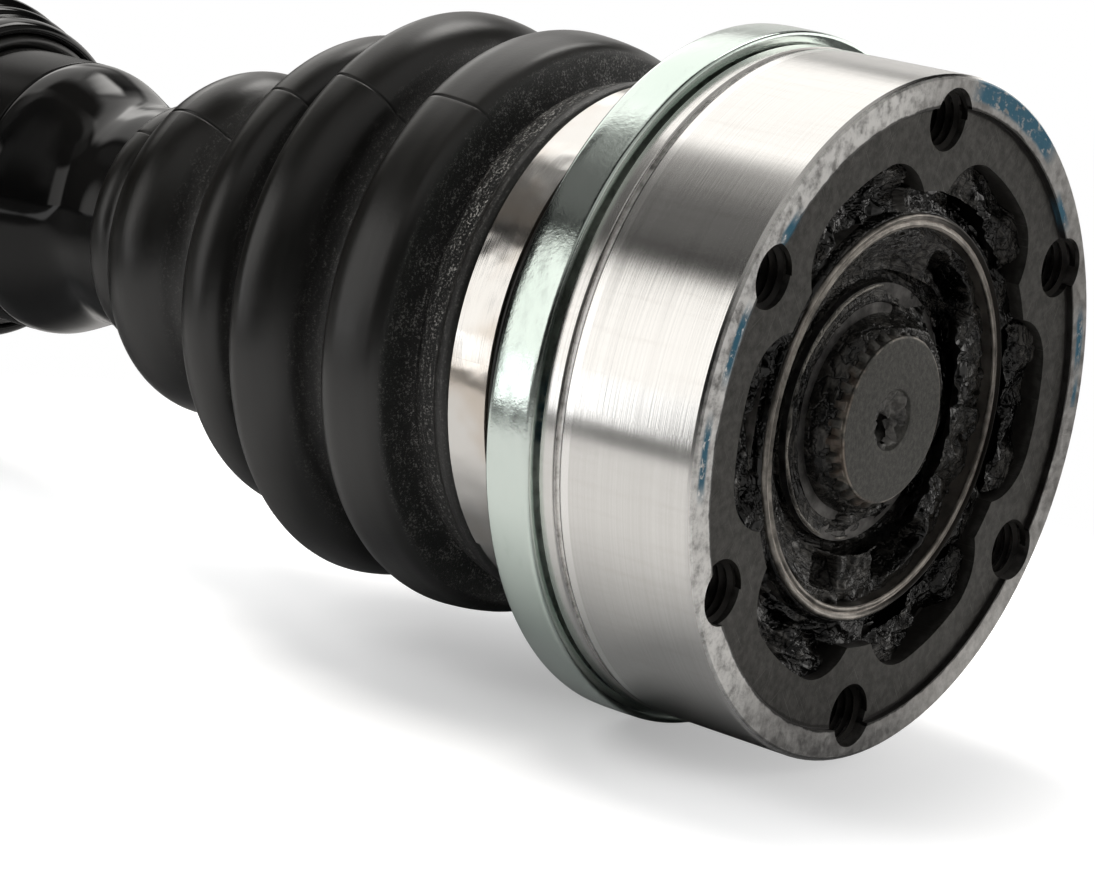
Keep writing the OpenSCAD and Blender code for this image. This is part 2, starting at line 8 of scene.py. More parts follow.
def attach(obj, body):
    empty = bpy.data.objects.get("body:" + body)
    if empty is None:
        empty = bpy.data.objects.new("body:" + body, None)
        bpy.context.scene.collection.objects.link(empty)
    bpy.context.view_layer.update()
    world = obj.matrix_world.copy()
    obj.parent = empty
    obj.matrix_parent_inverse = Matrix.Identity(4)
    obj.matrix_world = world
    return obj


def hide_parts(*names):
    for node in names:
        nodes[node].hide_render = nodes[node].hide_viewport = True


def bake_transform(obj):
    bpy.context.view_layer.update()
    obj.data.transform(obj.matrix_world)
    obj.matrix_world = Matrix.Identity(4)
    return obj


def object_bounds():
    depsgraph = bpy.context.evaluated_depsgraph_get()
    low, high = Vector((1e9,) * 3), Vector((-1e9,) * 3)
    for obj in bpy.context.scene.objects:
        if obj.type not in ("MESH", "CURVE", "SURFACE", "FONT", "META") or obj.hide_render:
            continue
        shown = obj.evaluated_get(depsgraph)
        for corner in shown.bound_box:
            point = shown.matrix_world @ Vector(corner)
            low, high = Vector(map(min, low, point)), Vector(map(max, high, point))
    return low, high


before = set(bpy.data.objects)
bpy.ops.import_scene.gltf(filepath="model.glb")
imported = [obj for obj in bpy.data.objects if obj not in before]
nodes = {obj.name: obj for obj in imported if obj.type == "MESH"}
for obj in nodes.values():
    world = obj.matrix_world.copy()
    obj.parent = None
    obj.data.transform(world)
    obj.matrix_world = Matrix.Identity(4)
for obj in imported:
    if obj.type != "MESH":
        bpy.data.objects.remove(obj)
cad_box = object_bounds()

MM = 0.001

# Places and radii of the part in millimetres
INNER_X = -19.0
CAGE_R = 35.95
BOLT_CIRCLE_R = 47.0
BOLT_HOLE_R = 5.0
PIT_R = 4.85
BOOT_WALL = 1.3
NECK_END = -183.75
TUBE_START = -183.95
RING_END = -239.8
DULL_TUBE = (-198.0, -183.9)
GROOVE_OIL = (-24.4, -23.72)
BURNISHED_EDGE = (-23.6, -22.3)


# Camera

def make_camera():
    data = bpy.data.cameras.new("camera")
    data.sensor_width = 36.0
    data.lens = 116.99
    data.clip_start = 0.01
    data.clip_end = 20
    cam = bpy.data.objects.new("camera", data)
    bpy.context.scene.collection.objects.link(cam)
    right = Vector((0.77169926, 0.61872915, 0.14715466))
    up = Vector((-0.22763204, 0.05265909, 0.97232231))
    back = Vector((0.59385513, -0.78383752, 0.18147956))
    m = Matrix((right, up, back)).transposed().to_4x4()
    m.translation = Vector((0.28274755, -0.4619678, 0.08915841))
    cam.matrix_world = m
    bpy.context.scene.camera = cam


make_camera()


# Node helpers

class Nodes:
    """Adds nodes to one tree and links them."""

    def __init__(self, tree):
        self.t = tree

    def add(self, kind, **settings):
        n = self.t.nodes.new(kind)
        for k, v in settings.items():
            setattr(n, k, v)
        return n

    def link(self, a, b):
        self.t.links.new(a, b)

    def put(self, v, s):
        if isinstance(v, bpy.types.NodeSocket):
            self.link(v, s)
        elif isinstance(v, tuple) and s.type == "RGBA":
            s.default_value = (*v, 1.0)
        else:
            s.default_value = v

    def math(self, op, a, b=0.0):
        n = self.add("ShaderNodeMath", operation=op)
        self.put(a, n.inputs[0])
        self.put(b, n.inputs[1])
        return n.outputs[0]

    def mul(self, a, b):
        return self.math("MULTIPLY", a, b)

    def plus(self, a, b):
        return self.math("ADD", a, b)

    def minus(self, a, b):
        return self.math("SUBTRACT", a, b)

    def invert(self, a):
        return self.minus(1.0, a)

    def highest(self, values):
        top = values[0]
        for v in values[1:]:
            top = self.math("MAXIMUM", top, v)
        return top

    def split(self, vector):
        n = self.add("ShaderNodeSeparateXYZ")
        self.link(vector, n.inputs[0])
        return n.outputs[0], n.outputs[1], n.outputs[2]

    def turn(self, a, b):
        """Angle of the point (a, b), in radians, and from 0 to 360 degrees."""
        angle = self.math("ARCTAN2", b, a)
        share = self.math("FRACT", self.plus(self.math("DIVIDE", angle, 2 * math.pi), 1.0))
        return angle, self.mul(share, 360)

    def step(self, v, lo, hi, low=0.0, high=1.0):
        """Smooth change from low to high as v goes from lo to hi."""
        n = self.add("ShaderNodeMapRange", interpolation_type="SMOOTHSTEP")
        self.put(v, n.inputs["Value"])
        for socket, value in (("From Min", lo), ("From Max", hi), ("To Min", low), ("To Max", high)):
            n.inputs[socket].default_value = value
        return n.outputs["Result"]

    def between(self, v, lo, hi, soft):
        return self.mul(self.step(v, lo - soft, lo + soft), self.invert(self.step(v, hi - soft, hi + soft)))

    def mix_shaders(self, fac, a, b):
        n = self.add("ShaderNodeMixShader")
        self.link(fac, n.inputs[0])
        self.link(a.outputs[0], n.inputs[1])
        self.link(b.outputs[0], n.inputs[2])
        return n


class Mat(Nodes):
    """Material with one main shader, whose sockets are filled by set."""

    def __init__(self, name, base, rough, metal=0.0):
        self.m = bpy.data.materials.new(name)
        self.m.use_nodes = True
        super().__init__(self.m.node_tree)
        self.b = self.t.nodes["Principled BSDF"]
        self.set(base, "Base Color")
        self.set(rough, "Roughness")
        self.set(metal, "Metallic")
        self.p = self.add("ShaderNodeTexCoord").outputs["Object"]

    def set(self, v, socket):
        self.put(v, self.b.inputs[socket])

    def axis(self):
        """x, radius, and the angle from +Y towards +Z in degrees and in radians. Lengths in millimetres."""
        x, self.y, self.z = [self.mul(v, 1000) for v in self.split(self.p)]
        r = self.math("SQRT", self.plus(self.mul(self.y, self.y), self.mul(self.z, self.z)))
        angle, degrees = self.turn(self.y, self.z)
        return x, r, degrees, angle

    def vec(self, x, y, z=0.0):
        n = self.add("ShaderNodeCombineXYZ")
        for k, v in enumerate((x, y, z)):
            self.put(v, n.inputs[k])
        return n.outputs[0]

    def noise(self, scale, detail=3.0, rough=0.55, vec=None, distort=0.0):
        n = self.add("ShaderNodeTexNoise")
        self.link(self.p if vec is None else vec, n.inputs["Vector"])
        values = {"Scale": scale, "Detail": detail, "Roughness": rough, "Distortion": distort}
        for socket, value in values.items():
            n.inputs[socket].default_value = value
        return n.outputs["Fac"]

    def cells(self, vec, feature):
        n = self.add("ShaderNodeTexVoronoi", feature=feature)
        self.link(vec, n.inputs["Vector"])
        n.inputs["Scale"].default_value = 1.0
        return n.outputs["Distance"]

    def mix(self, fac, a, b):
        n = self.add("ShaderNodeMix", data_type="RGBA")
        self.put(fac, n.inputs["Factor"])
        self.put(a, n.inputs[6])
        self.put(b, n.inputs[7])
        return n.outputs[2]

    def mixf(self, fac, a, b):
        n = self.add("ShaderNodeMix", data_type="FLOAT")
        self.put(fac, n.inputs[0])
        self.put(a, n.inputs[2])
        self.put(b, n.inputs[3])
        return n.outputs[0]

    def bump(self, height, strength, dist):
        n = self.add("ShaderNodeBump")
        n.inputs["Strength"].default_value = strength
        n.inputs["Distance"].default_value = dist
        self.link(height, n.inputs["Height"])
        self.link(n.outputs[0], self.b.inputs["Normal"])


# Materials

OIL = (0.018, 0.016, 0.015)

INK = (  # degrees from, to, radius from, to
    (54, 84, 50.3, 53.7), (139, 145, 47.5, 50.6), (158, 170, 49.2, 50.9), (177, 189, 50.8, 52.4),
    (8, 18, 50.4, 52.2), (38, 45, 49.0, 50.4), (0, 5, 51, 52.3))


def race_material():
    m = Mat("ground_steel", (0.6, 0.6, 0.6), 0.3, 1.0)
    x, r, deg, a = m.axis()
    wobble = m.noise(90, 4, 0.6)
    rw = m.plus(r, m.mul(m.minus(wobble, 0.5), 1.2))
    side = m.step(r, 53.5, 53.75)
    recess = m.invert(m.step(r, 48.7, 49.0))
    # ground outer face: fine rings round the axis, and faint streaks along it
    rings = m.noise(1.0, 2, 0.7, m.vec(m.mul(x, 3.6), m.mul(a, 0.5)))
    fine = m.noise(1.0, 1, 0.5, m.vec(m.mul(x, 11.0), m.mul(a, 1.2), 4.0))
    streak = m.noise(1.0, 3, 0.6, m.vec(m.mul(a, 42.0), m.mul(x, 0.05), 2.0))
    clouds = m.noise(28, 3, 0.5)
    side_col = m.mix(m.step(rings, 0.25, 0.75), (0.74, 0.73, 0.71), (0.82, 0.81, 0.79))
    side_col = m.mix(m.mul(m.step(streak, 0.45, 0.75), 0.3), side_col, (0.65, 0.63, 0.60))
    side_col = m.mix(m.mul(m.step(clouds, 0.5, 0.8), 0.25), side_col, (0.70, 0.64, 0.58))
    # bright ring on the face: scuffed, with pits
    scuff = m.noise(420, 5, 0.7)
    scratch = m.noise(1.0, 3, 0.6, m.vec(m.mul(a, 260.0), m.mul(r, 0.5), 3.0))
    patch = m.noise(70, 4, 0.6)
    face_col = m.mix(m.step(scuff, 0.3, 0.72), (0.34, 0.33, 0.32), (0.60, 0.59, 0.575))
    face_col = m.mix(m.mul(m.step(scratch, 0.55, 0.72), 0.35), face_col, (0.72, 0.71, 0.69))
    face_col = m.mix(m.mul(m.step(patch, 0.55, 0.72), 0.35), face_col, (0.26, 0.24, 0.22))
    # painted highlight: the ring is made lighter over one side, from 100 to 236 degrees, broken up by the
    # scuffs
    painted_sheen_side = m.mul(m.between(deg, 100, 236, 12), m.step(scuff, 0.25, 0.62))
    face_col = m.mix(painted_sheen_side, face_col, (0.95, 0.94, 0.92))
    # blue ink on the ring
    ink = m.highest([m.mul(m.between(deg, lo, hi, 2.5), m.between(rw, r0, r1, 0.4))
                     for lo, hi, r0, r1 in INK])
    smear = m.noise(1.0, 4, 0.65, m.vec(m.mul(a, 34.0), m.mul(r, 0.9), 7.0))
    ink = m.mul(ink, m.step(smear, 0.36, 0.47))
    # dark line where the ring meets the recess: painted shade of the step, with oil in it as well
    edge_r = m.plus(r, m.mul(m.minus(m.noise(150, 4, 0.7), 0.5), 1.3))
    line = m.between(edge_r, 48.35, 49.3, 0.15)
    # grey recess with short scratches
    grain = m.noise(700, 4, 0.65)
    blot = m.noise(60, 5, 0.65)
    rec_col = m.mix(m.step(grain, 0.3, 0.75), (0.042, 0.040, 0.036), (0.100, 0.096, 0.089))
    rec_col = m.mix(m.mul(m.step(blot, 0.5, 0.8), 0.35), rec_col, (0.105, 0.10, 0.095))
    nicks = []
    for turn_by, seed in ((38.0, 1.0), (-52.0, 5.0), (74.0, 9.0)):
        c = math.cos(math.radians(turn_by))
        d = math.sin(math.radians(turn_by))
        along = m.plus(m.mul(m.y, 0.10 * c), m.mul(m.z, 0.10 * d))
        across = m.plus(m.mul(m.y, -3.2 * d), m.mul(m.z, 3.2 * c))
        nicks.append(m.step(m.noise(1.0, 2, 0.5, m.vec(along, across, seed)), 0.66, 0.74))
    nick = m.highest(nicks)
    rec_col = m.mix(m.mul(nick, 0.35), rec_col, (0.17, 0.165, 0.155))
    # deep places are painted dark as shade, and are oily as well
    deep = m.mul(recess, m.invert(m.step(x, -3.0, -1.3)))
    rec_col = m.mix(m.mul(deep, 0.75), rec_col, (0.018, 0.016, 0.014))
    col = m.mix(recess, face_col, rec_col)
    col = m.mix(m.mul(line, 0.85), col, OIL)
    col = m.mix(ink, col, (0.015, 0.11, 0.175))
    # oil in the turned groove, and a burnished edge beside it
    side_col = m.mix(m.mul(m.between(x, *GROOVE_OIL, 0.08), 0.92), side_col, OIL)
    side_col = m.mix(m.between(x, *BURNISHED_EDGE, 0.1), side_col, (0.93, 0.92, 0.90))
    col = m.mix(side, col, side_col)
    m.set(col, "Base Color")
    rough = m.mixf(recess, m.mixf(m.step(scuff, 0.3, 0.7), 0.28, 0.48), m.mixf(grain, 0.38, 0.6))
    rough = m.mixf(side, rough, m.mixf(m.step(clouds, 0.35, 0.7), 0.15, 0.21))
    m.set(rough, "Roughness")
    m.set(m.mixf(side, m.mixf(recess, m.mixf(ink, 1.0, 0.1), 0.55), 1.0), "Metallic")
    ring_h = m.plus(m.mul(scuff, 0.6), m.mul(scratch, 0.5))
    recess_h = m.plus(grain, m.mul(nick, -0.5))
    side_h = m.plus(m.mul(rings, 0.16), m.mul(fine, 0.11))
    m.bump(m.mixf(side, m.mixf(recess, ring_h, recess_h), side_h), 0.5, 0.00012)
    return m.m


def zinc_material():
    m = Mat("zinc_plate", (0.62, 0.72, 0.68), 0.2, 1.0)
    x, r, _, a = m.axis()
    grain = m.noise(2600, 2, 0.6)
    pebble = m.noise(1100, 2, 0.5)
    flow = m.noise(1.0, 3, 0.6, m.vec(m.mul(a, 14.0), m.mul(x, 0.5), r))
    tint = m.noise(22, 3, 0.5)
    col = m.mix(m.step(tint, 0.35, 0.7), (0.66, 0.76, 0.70), (0.76, 0.83, 0.79))
    col = m.mix(m.mul(m.step(flow, 0.56, 0.78), 0.2), col, (0.50, 0.58, 0.54))
    m.set(col, "Base Color")
    m.set(m.mixf(m.step(flow, 0.35, 0.7), 0.13, 0.22), "Roughness")
    m.bump(m.plus(m.mul(grain, 0.5), pebble), 0.42, 0.00005)
    return m.m


def stainless_material():
    m = Mat("stainless", (0.78, 0.77, 0.75), 0.1, 1.0)
    x, _, _, a = m.axis()
    roll = m.noise(1.0, 2, 0.6, m.vec(m.mul(x, 8.0), m.mul(a, 2.0)))
    dull = m.noise(60, 3, 0.6)
    # the strip is bent round in short flats, so its reflections break up in blocks
    flats = m.noise(1.0, 1, 0.5, m.vec(m.mul(a, 7.5), m.mul(x, 0.12), 5.0))
    block = m.cells(m.vec(m.mul(a, 5.5), m.mul(x, 0.17), 8.0), "F1")
    col = m.mix(m.mul(m.step(dull, 0.42, 0.72), 0.55), (0.74, 0.725, 0.70), (0.58, 0.48, 0.38))
    m.set(col, "Base Color")
    m.set(m.mixf(m.step(dull, 0.35, 0.75), 0.08, 0.17), "Roughness")
    h = m.plus(m.mul(roll, 0.35), m.mul(flats, 9.0))
    m.bump(m.plus(h, m.mul(block, 3.0)), 0.3, 0.00008)
    return m.m


def rubber_material(name, rough_zones=()):
    """Black moulded rubber. Zones of coarse skin with painted glints: x from, to, wander of the edge,
    amount.
    """
    m = Mat(name, (0.02, 0.02, 0.02), 0.45)
    x, r, deg, a = m.axis()
    cloud = m.noise(40, 4, 0.6)
    smear = m.noise(1.0, 4, 0.62, m.vec(m.mul(x, 0.16), m.mul(a, 1.6), m.mul(r, 0.08)))
    grain = m.noise(1500, 3, 0.6)
    coarse = m.noise(2400, 4, 0.85)
    zones = []
    for lo, hi, wander, amount in rough_zones:
        place = m.plus(x, m.mul(m.minus(cloud, 0.5), wander))
        zones.append(m.mul(m.between(place, lo, hi, 0.7), amount))
    zone = m.highest(zones or [m.mul(m.step(cloud, 0.7, 0.85), 0.4)])
    col = m.mix(m.step(smear, 0.35, 0.7), (0.0032, 0.0030, 0.0026), (0.0062, 0.0059, 0.0052))
    # painted glints: bright specks in the coarse zones stand in for light caught by the rough skin
    ridge = m.noise(1.0, 3, 0.7, m.vec(m.mul(x, 1.9), m.mul(a, 9.0), 6.0))
    grit = m.plus(m.mul(coarse, 0.72), m.mul(ridge, 0.28))
    spark = m.step(grit, 0.53, 0.60)
    painted_glint_col = m.mix(spark, (0.002, 0.002, 0.0018), (0.24, 0.235, 0.22))
    col = m.mix(zone, col, painted_glint_col)
    # mould lines, a little darker than the skin beside them
    seam = m.math("PINGPONG", m.plus(deg, 50), 90.0)
    arc = m.mul(r, 0.01745)
    seam = m.invert(m.step(m.mul(seam, arc), 0.12, 0.3))
    seam = m.mul(seam, m.mul(m.step(r, 25.0, 28.0), m.between(x, -452, -65.4, 0.4)))
    col = m.mix(m.mul(seam, 0.5), col, (0.001, 0.001, 0.001))
    m.set(col, "Base Color")
    m.b.inputs["Specular IOR Level"].default_value = 0.66
    skin = m.mixf(m.step(smear, 0.3, 0.75), 0.29, 0.39)
    m.set(m.mixf(zone, skin, m.mixf(spark, 0.6, 0.3)), "Roughness")
    h = m.mixf(zone, m.mul(grain, 0.16), m.mul(grit, 4.0))
    m.bump(h, 0.5, 0.00022)
    return m.m


def gloss_black_material():
    m = Mat("gloss_black", (0.006, 0.006, 0.006), 0.1)
    x = m.axis()[0]
    peel = m.noise(120, 2, 0.5)
    cloud = m.step(m.noise(30, 3), 0.4, 0.7)
    m.set(m.mix(cloud, (0.0025, 0.0025, 0.0025), (0.005, 0.0048, 0.0045)), "Base Color")
    gloss = m.mixf(m.noise(55, 4, 0.6), 0.05, 0.10)
    m.set(m.plus(gloss, m.mul(m.between(x, *DULL_TUBE, 0.1), 0.13)), "Roughness")
    m.b.inputs["Specular IOR Level"].default_value = 0.27
    m.bump(m.plus(peel, m.mul(m.noise(700, 2), 0.06)), 0.05, 0.0003)
    return m.m


def grease_material():
    """Black grease, and a thin grey film where it has been wiped over the steel."""
    m = Mat("grease", (0.006, 0.0055, 0.005), 0.12)
    x, r, deg, a = m.axis()
    lobe = m.math("PINGPONG", deg, 30.0)
    film_n = m.noise(95, 4, 0.6)
    left = m.mul(m.between(deg, 60, 290, 18), m.between(r, 13.0, 29.2, 0.6))
    floors = m.mul(m.step(lobe, 8.0, 12.0), m.step(r, 37.0, 38.5))
    floors = m.mul(floors, m.invert(m.mul(m.between(deg, 110, 235, 15), 0.6)))
    patches = m.mul(m.step(m.noise(150, 2, 0.5), 0.52, 0.58), 0.7)
    smears = [m.mul(left, m.step(film_n, 0.38, 0.50)), m.mul(floors, m.step(film_n, 0.36, 0.5)), patches]
    film = m.highest(smears)
    # thin dark creases between the dried patches
    bend = m.mul(m.noise(330, 3, 0.6), 2.4)
    sway = m.mul(m.noise(240, 3, 0.6), 2.4)
    web = m.vec(m.plus(m.mul(m.y, 0.4), bend), m.plus(m.mul(m.z, 0.28), sway), m.mul(x, 0.3))
    crease = m.invert(m.step(m.cells(web, "DISTANCE_TO_EDGE"), 0.02, 0.12))
    lines = m.noise(1.0, 4, 0.6, m.vec(m.mul(r, 1.6), m.mul(a, 6.0), m.mul(x, 0.4)), 0.8)
    film_col = m.mix(m.step(lines, 0.35, 0.65), (0.012, 0.011, 0.010), (0.062, 0.058, 0.052))
    film_col = m.mix(m.mul(crease, 0.75), film_col, (0.001, 0.001, 0.001))
    hub_edge = m.mul(m.between(r, 19.95, 20.45, 0.12), m.between(deg, 85, 275, 12))
    smooth = m.step(m.noise(120, 4, 0.6), 0.45, 0.75)
    black = m.mix(smooth, (0.0006, 0.0006, 0.0005), (0.003, 0.0026, 0.0022))
    col = m.mix(film, black, film_col)
    col = m.mix(m.mul(hub_edge, m.step(film_n, 0.3, 0.5)), col, (0.24, 0.225, 0.20))
    m.set(col, "Base Color")
    m.set(m.mul(film, 0.35), "Metallic")
    m.set(m.mixf(film, m.mixf(m.noise(330, 3, 0.6), 0.05, 0.16), 0.27), "Roughness")
    m.b.inputs["IOR"].default_value = 1.45
    h = m.mixf(film, m.mul(m.noise(260, 3, 0.5), 0.35), m.mul(lines, 0.9))
    m.bump(m.minus(h, m.mul(crease, 0.55)), 0.6, 0.00045)
    return m.m


def dark_steel_material(name, base, rough, metal, rim=None, oily=None, spread=(0.45, 1.5)):
    """Mottled steel. rim: x range of a bright worn edge; oily: radius beyond which one side is oiled."""
    m = Mat(name, base, rough, metal)
    x, r, _, a = m.axis()
    mottle = m.noise(300, 5, 0.65)
    lo = tuple(c * spread[0] for c in base)
    hi = tuple(min(1.0, c * spread[1]) for c in base)
    col = m.mix(m.step(mottle, 0.3, 0.75), lo, hi)
    if rim is not None:
        edge = m.mix(m.step(m.noise(200, 4, 0.7), 0.3, 0.7), (0.2, 0.17, 0.15), (0.62, 0.57, 0.52))
        col = m.mix(m.between(x, *rim, 0.12), col, edge)
        bore = m.mul(m.invert(m.step(r, 30.2, 30.5)), m.step(x, -12.0, -9.0))
        wall = m.mix(m.step(m.noise(130, 4, 0.65), 0.35, 0.7), (0.18, 0.165, 0.145), (0.45, 0.41, 0.365))
        col = m.mix(m.mul(bore, 0.85), col, wall)
    if oily is not None:
        col = m.mix(m.mul(m.step(r, oily, oily + 0.3), m.step(m.y, -2.0, 12.0)), col, (0.02, 0.018, 0.016))
    m.set(col, "Base Color")
    m.set(m.mixf(mottle, rough - 0.08, rough + 0.14), "Roughness")
    turned = m.noise(1.0, 2, 0.6, m.vec(m.mul(x, 6.0), m.mul(r, 6.0), m.mul(a, 1.5)))
    m.bump(m.plus(m.mul(mottle, 0.6), m.mul(turned, 0.5)), 0.4, 0.00015)
    return m.m


def shaft_end_material():
    m = Mat("shaft_end", (0.055, 0.05, 0.046), 0.5, 0.35)
    _, r, deg, a = m.axis()
    grain = m.noise(1100, 5, 0.75)
    rings = m.noise(1.0, 3, 0.6, m.vec(m.mul(r, 7.0), m.mul(a, 0.8)))
    col = m.mix(m.step(grain, 0.35, 0.72), (0.040, 0.039, 0.035), (0.110, 0.106, 0.096))
    col = m.mix(m.mul(m.step(rings, 0.5, 0.7), 0.2), col, (0.11, 0.105, 0.095))
    rim = m.between(r, 12.95, 13.35, 0.1)
    col = m.mix(m.mul(rim, m.step(m.noise(300, 3, 0.6), 0.4, 0.6)), col, (0.30, 0.27, 0.23))
    copper = m.mul(m.between(deg, 130, 262, 12), m.between(r, 12.9, 15.0, 0.3))
    copper = m.mul(copper, m.step(m.noise(220, 3, 0.6), 0.4, 0.6))
    col = m.mix(m.mul(copper, 0.4), col, (0.20, 0.13, 0.09))
    m.set(col, "Base Color")
    m.set(m.mixf(grain, 0.36, 0.6), "Roughness")
    m.bump(m.plus(grain, m.mul(rings, 0.6)), 0.5, 0.00015)
    return m.m


def ball_material():
    m = Mat("ball_steel", (0.6, 0.6, 0.62), 0.1, 1.0)
    film = m.noise(90, 4, 0.6)
    m.set(m.mix(m.step(film, 0.4, 0.6), (0.62, 0.62, 0.63), (0.05, 0.045, 0.04)), "Base Color")
    m.set(m.mixf(film, 0.06, 0.3), "Roughness")
    m.bump(film, 0.2, 0.0002)
    return m.m


def dirt_material():
    m = Mat("pit_dirt", (0.1, 0.1, 0.09), 0.5)
    n = m.noise(420, 4, 0.65)
    m.set(m.mix(m.step(n, 0.35, 0.65), (0.012, 0.011, 0.010), (0.13, 0.125, 0.115)), "Base Color")
    m.set(m.mixf(n, 0.3, 0.6), "Roughness")
    m.bump(n, 0.5, 0.0003)
    return m.m


BOOT_ZONES = (
    (-65.8, -58.3, 0.6, 1.0), (-58.3, -55.4, 0.6, 0.25), (-87.5, -81.0, 4, 0.3), (-107, -103, 4, 0.35),
    (-133, -127, 3, 0.15))

MAT = {
    "race": race_material(),
    "zinc": zinc_material(),
    "band": stainless_material(),
    "boot": rubber_material("boot_rubber", BOOT_ZONES),
    "boot2": rubber_material("outer_boot_rubber"),
    "paint": gloss_black_material(),
    "grease": grease_material(),
    "cage": dark_steel_material("cage_steel", (0.20, 0.19, 0.18), 0.34, 0.95, rim=(-3.6, -2.6)),
    "steel": dark_steel_material("dark_steel", (0.14, 0.135, 0.13), 0.36, 0.9),
    "bell": dark_steel_material("bell_steel", (0.24, 0.235, 0.23), 0.4, 0.9, spread=(0.72, 1.25)),
    "spring": dark_steel_material("spring_steel", (0.10, 0.098, 0.095), 0.3, 0.9),
    "end": shaft_end_material(),
    "ball": ball_material(),
    "sleeve": rubber_material("damper_rubber"),
    "thread": dark_steel_material("thread_steel", (0.014, 0.012, 0.010), 0.4, 0.6),
    "dirt": dirt_material(),
    "rim": dark_steel_material("cage_rim_steel", (0.29, 0.27, 0.245), 0.34, 1.0, oily=30.9),
}

# Material of each solid
USES = {"inner_race": "race", "inner_cap": "zinc", "inner_band": "band", "outer_band": "band",
        "inner_cage": "cage", "outer_cage": "steel", "inner_star": "steel", "outer_star": "steel",
        "inner_circlip": "spring", "outer_circlip": "spring", "dished_washer": "spring",
        "grease_mouths": "grease", "grease_core": "grease", "inner_boot": "boot", "outer_boot": "boot2",
        "inner_stub": "end", "tube": "paint", "outer_stub": "paint", "damper_sleeve": "sleeve",
        "damper_ring": "paint", "bell": "bell"}
for k in range(1, 7):
    USES["inner_ball_%d" % k] = "ball"
    USES["outer_ball_%d" % k] = "ball"
for name, obj in nodes.items():
    obj.data.materials.clear()
    obj.data.materials.append(MAT[USES[name]])


# Mesh helpers

def new_piece(name, verts, faces, mat, body):
    mesh = bpy.data.meshes.new(name)
    mesh.from_pydata([tuple(v) for v in verts], [], faces)
    mesh.validate()
    mesh.update()
    obj = bpy.data.objects.new(name, mesh)
    bpy.context.scene.collection.objects.link(obj)
    mesh.materials.append(MAT[mat])
    mesh.polygons.foreach_set("use_smooth", [True] * len(mesh.polygons))
    if body is not None:
        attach(obj, body)
    return obj


def mark_creases(obj, angle):
    obj.data.set_sharp_from_angle(angle=math.radians(angle))


def smooth01(v, lo, hi):
    t = min(1.0, max(0.0, (v - lo) / (hi - lo)))
    return t * t * (3 - 2 * t)


def around(x, r, a):
    """Point at x and radius r in millimetres, at the angle a round the axis."""
    return (x * MM, r * math.cos(a) * MM, r * math.sin(a) * MM)


def strip_faces(a, b, segs):
    """Faces between two rings of vertices, whose first indices are a and b."""
    faces = []
    for k in range(segs):
        q = (k + 1) % segs
        faces.append((a + k, b + k, b + q, a + q))
    return faces


def net(name, point, columns, rows, mat, body, closed=False):
    """Net of faces over point(column, row), open where that gives None."""
    grid, verts, faces = {}, [], []
    for j in range(columns):
        for i in range(rows):
            p = point(j, i)
            if p is not None:
                grid[(j, i)] = len(verts)
                verts.append(p)
    for j in range(columns if closed else columns - 1):
        q = (j + 1) % columns
        for i in range(rows - 1):
            corners = [grid.get(c) for c in ((j, i), (q, i), (q, i + 1), (j, i + 1))]
            if None not in corners:
                faces.append(tuple(corners))
    return new_piece(name, verts, faces, mat, body)


def curve_through(pts, step):
    """Smooth curve through the points, as arrays in the same unit."""
    p = np.array(pts, float)
    ext = np.vstack([2 * p[0] - p[1], p, 2 * p[-1] - p[-2]])
    out = []
    for k in range(1, len(ext) - 2):
        a, b, c, d = ext[k - 1], ext[k], ext[k + 1], ext[k + 2]
        n = max(2, int(np.linalg.norm(c - b) / step))
        t0, t1 = 0.0, np.linalg.norm(b - a) ** 0.5
        t2 = t1 + np.linalg.norm(c - b) ** 0.5
        t3 = t2 + np.linalg.norm(d - c) ** 0.5
        for t in np.linspace(t1, t2, n, endpoint=False):
            a1 = (t1 - t) / (t1 - t0) * a + (t - t0) / (t1 - t0) * b
            a2 = (t2 - t) / (t2 - t1) * b + (t - t1) / (t2 - t1) * c
            a3 = (t3 - t) / (t3 - t2) * c + (t - t2) / (t3 - t2) * d
            b1 = (t2 - t) / (t2 - t0) * a1 + (t - t0) / (t2 - t0) * a2
            b2 = (t3 - t) / (t3 - t1) * a2 + (t - t1) / (t3 - t1) * a3
            out.append((t2 - t) / (t2 - t1) * b1 + (t - t1) / (t2 - t1) * b2)
    out.append(p[-1])
    return np.array(out)


def revolve(name, pts, mat, body, segs=160, wave=None):
    """Turns the closed outline of (x, r) points round X. wave(x, r, angle) returns a change of r."""
    n = len(pts)
    verts, faces = [], []
    for k in range(segs):
        a = 2 * math.pi * k / segs
        q = (k + 1) % segs
        for i, (x, r) in enumerate(pts):
            j = (i + 1) % n
            verts.append(around(x, r + (wave(x, r, a) if wave else 0.0), a))
            faces.append((k * n + i, q * n + i, q * n + j, k * n + j))
    return new_piece(name, verts, faces, mat, body)


# Boots

BOOT_SEGS = 192
MOULD_ANGLE = 130
MOULD_STEPS = (-0.9, -0.5, -0.28, -0.12, 0, 0.12, 0.28, 0.5, 0.9)
SEAM_FROM = -64.8
SEAM_TO = -452.5
SEAM_DEPTH = 0.2
SEAM_WIDTH = 0.2


def mould_line(x, r, a):
    """Fine parting grooves of the boot's mould, on two opposite sides of its folds."""
    d = (math.degrees(a) - MOULD_ANGLE + 90) % 180 - 90
    if x > SEAM_FROM or x < SEAM_TO:
        return 0.0
    return -SEAM_DEPTH * math.exp(-(d * math.radians(r) / SEAM_WIDTH) ** 2)


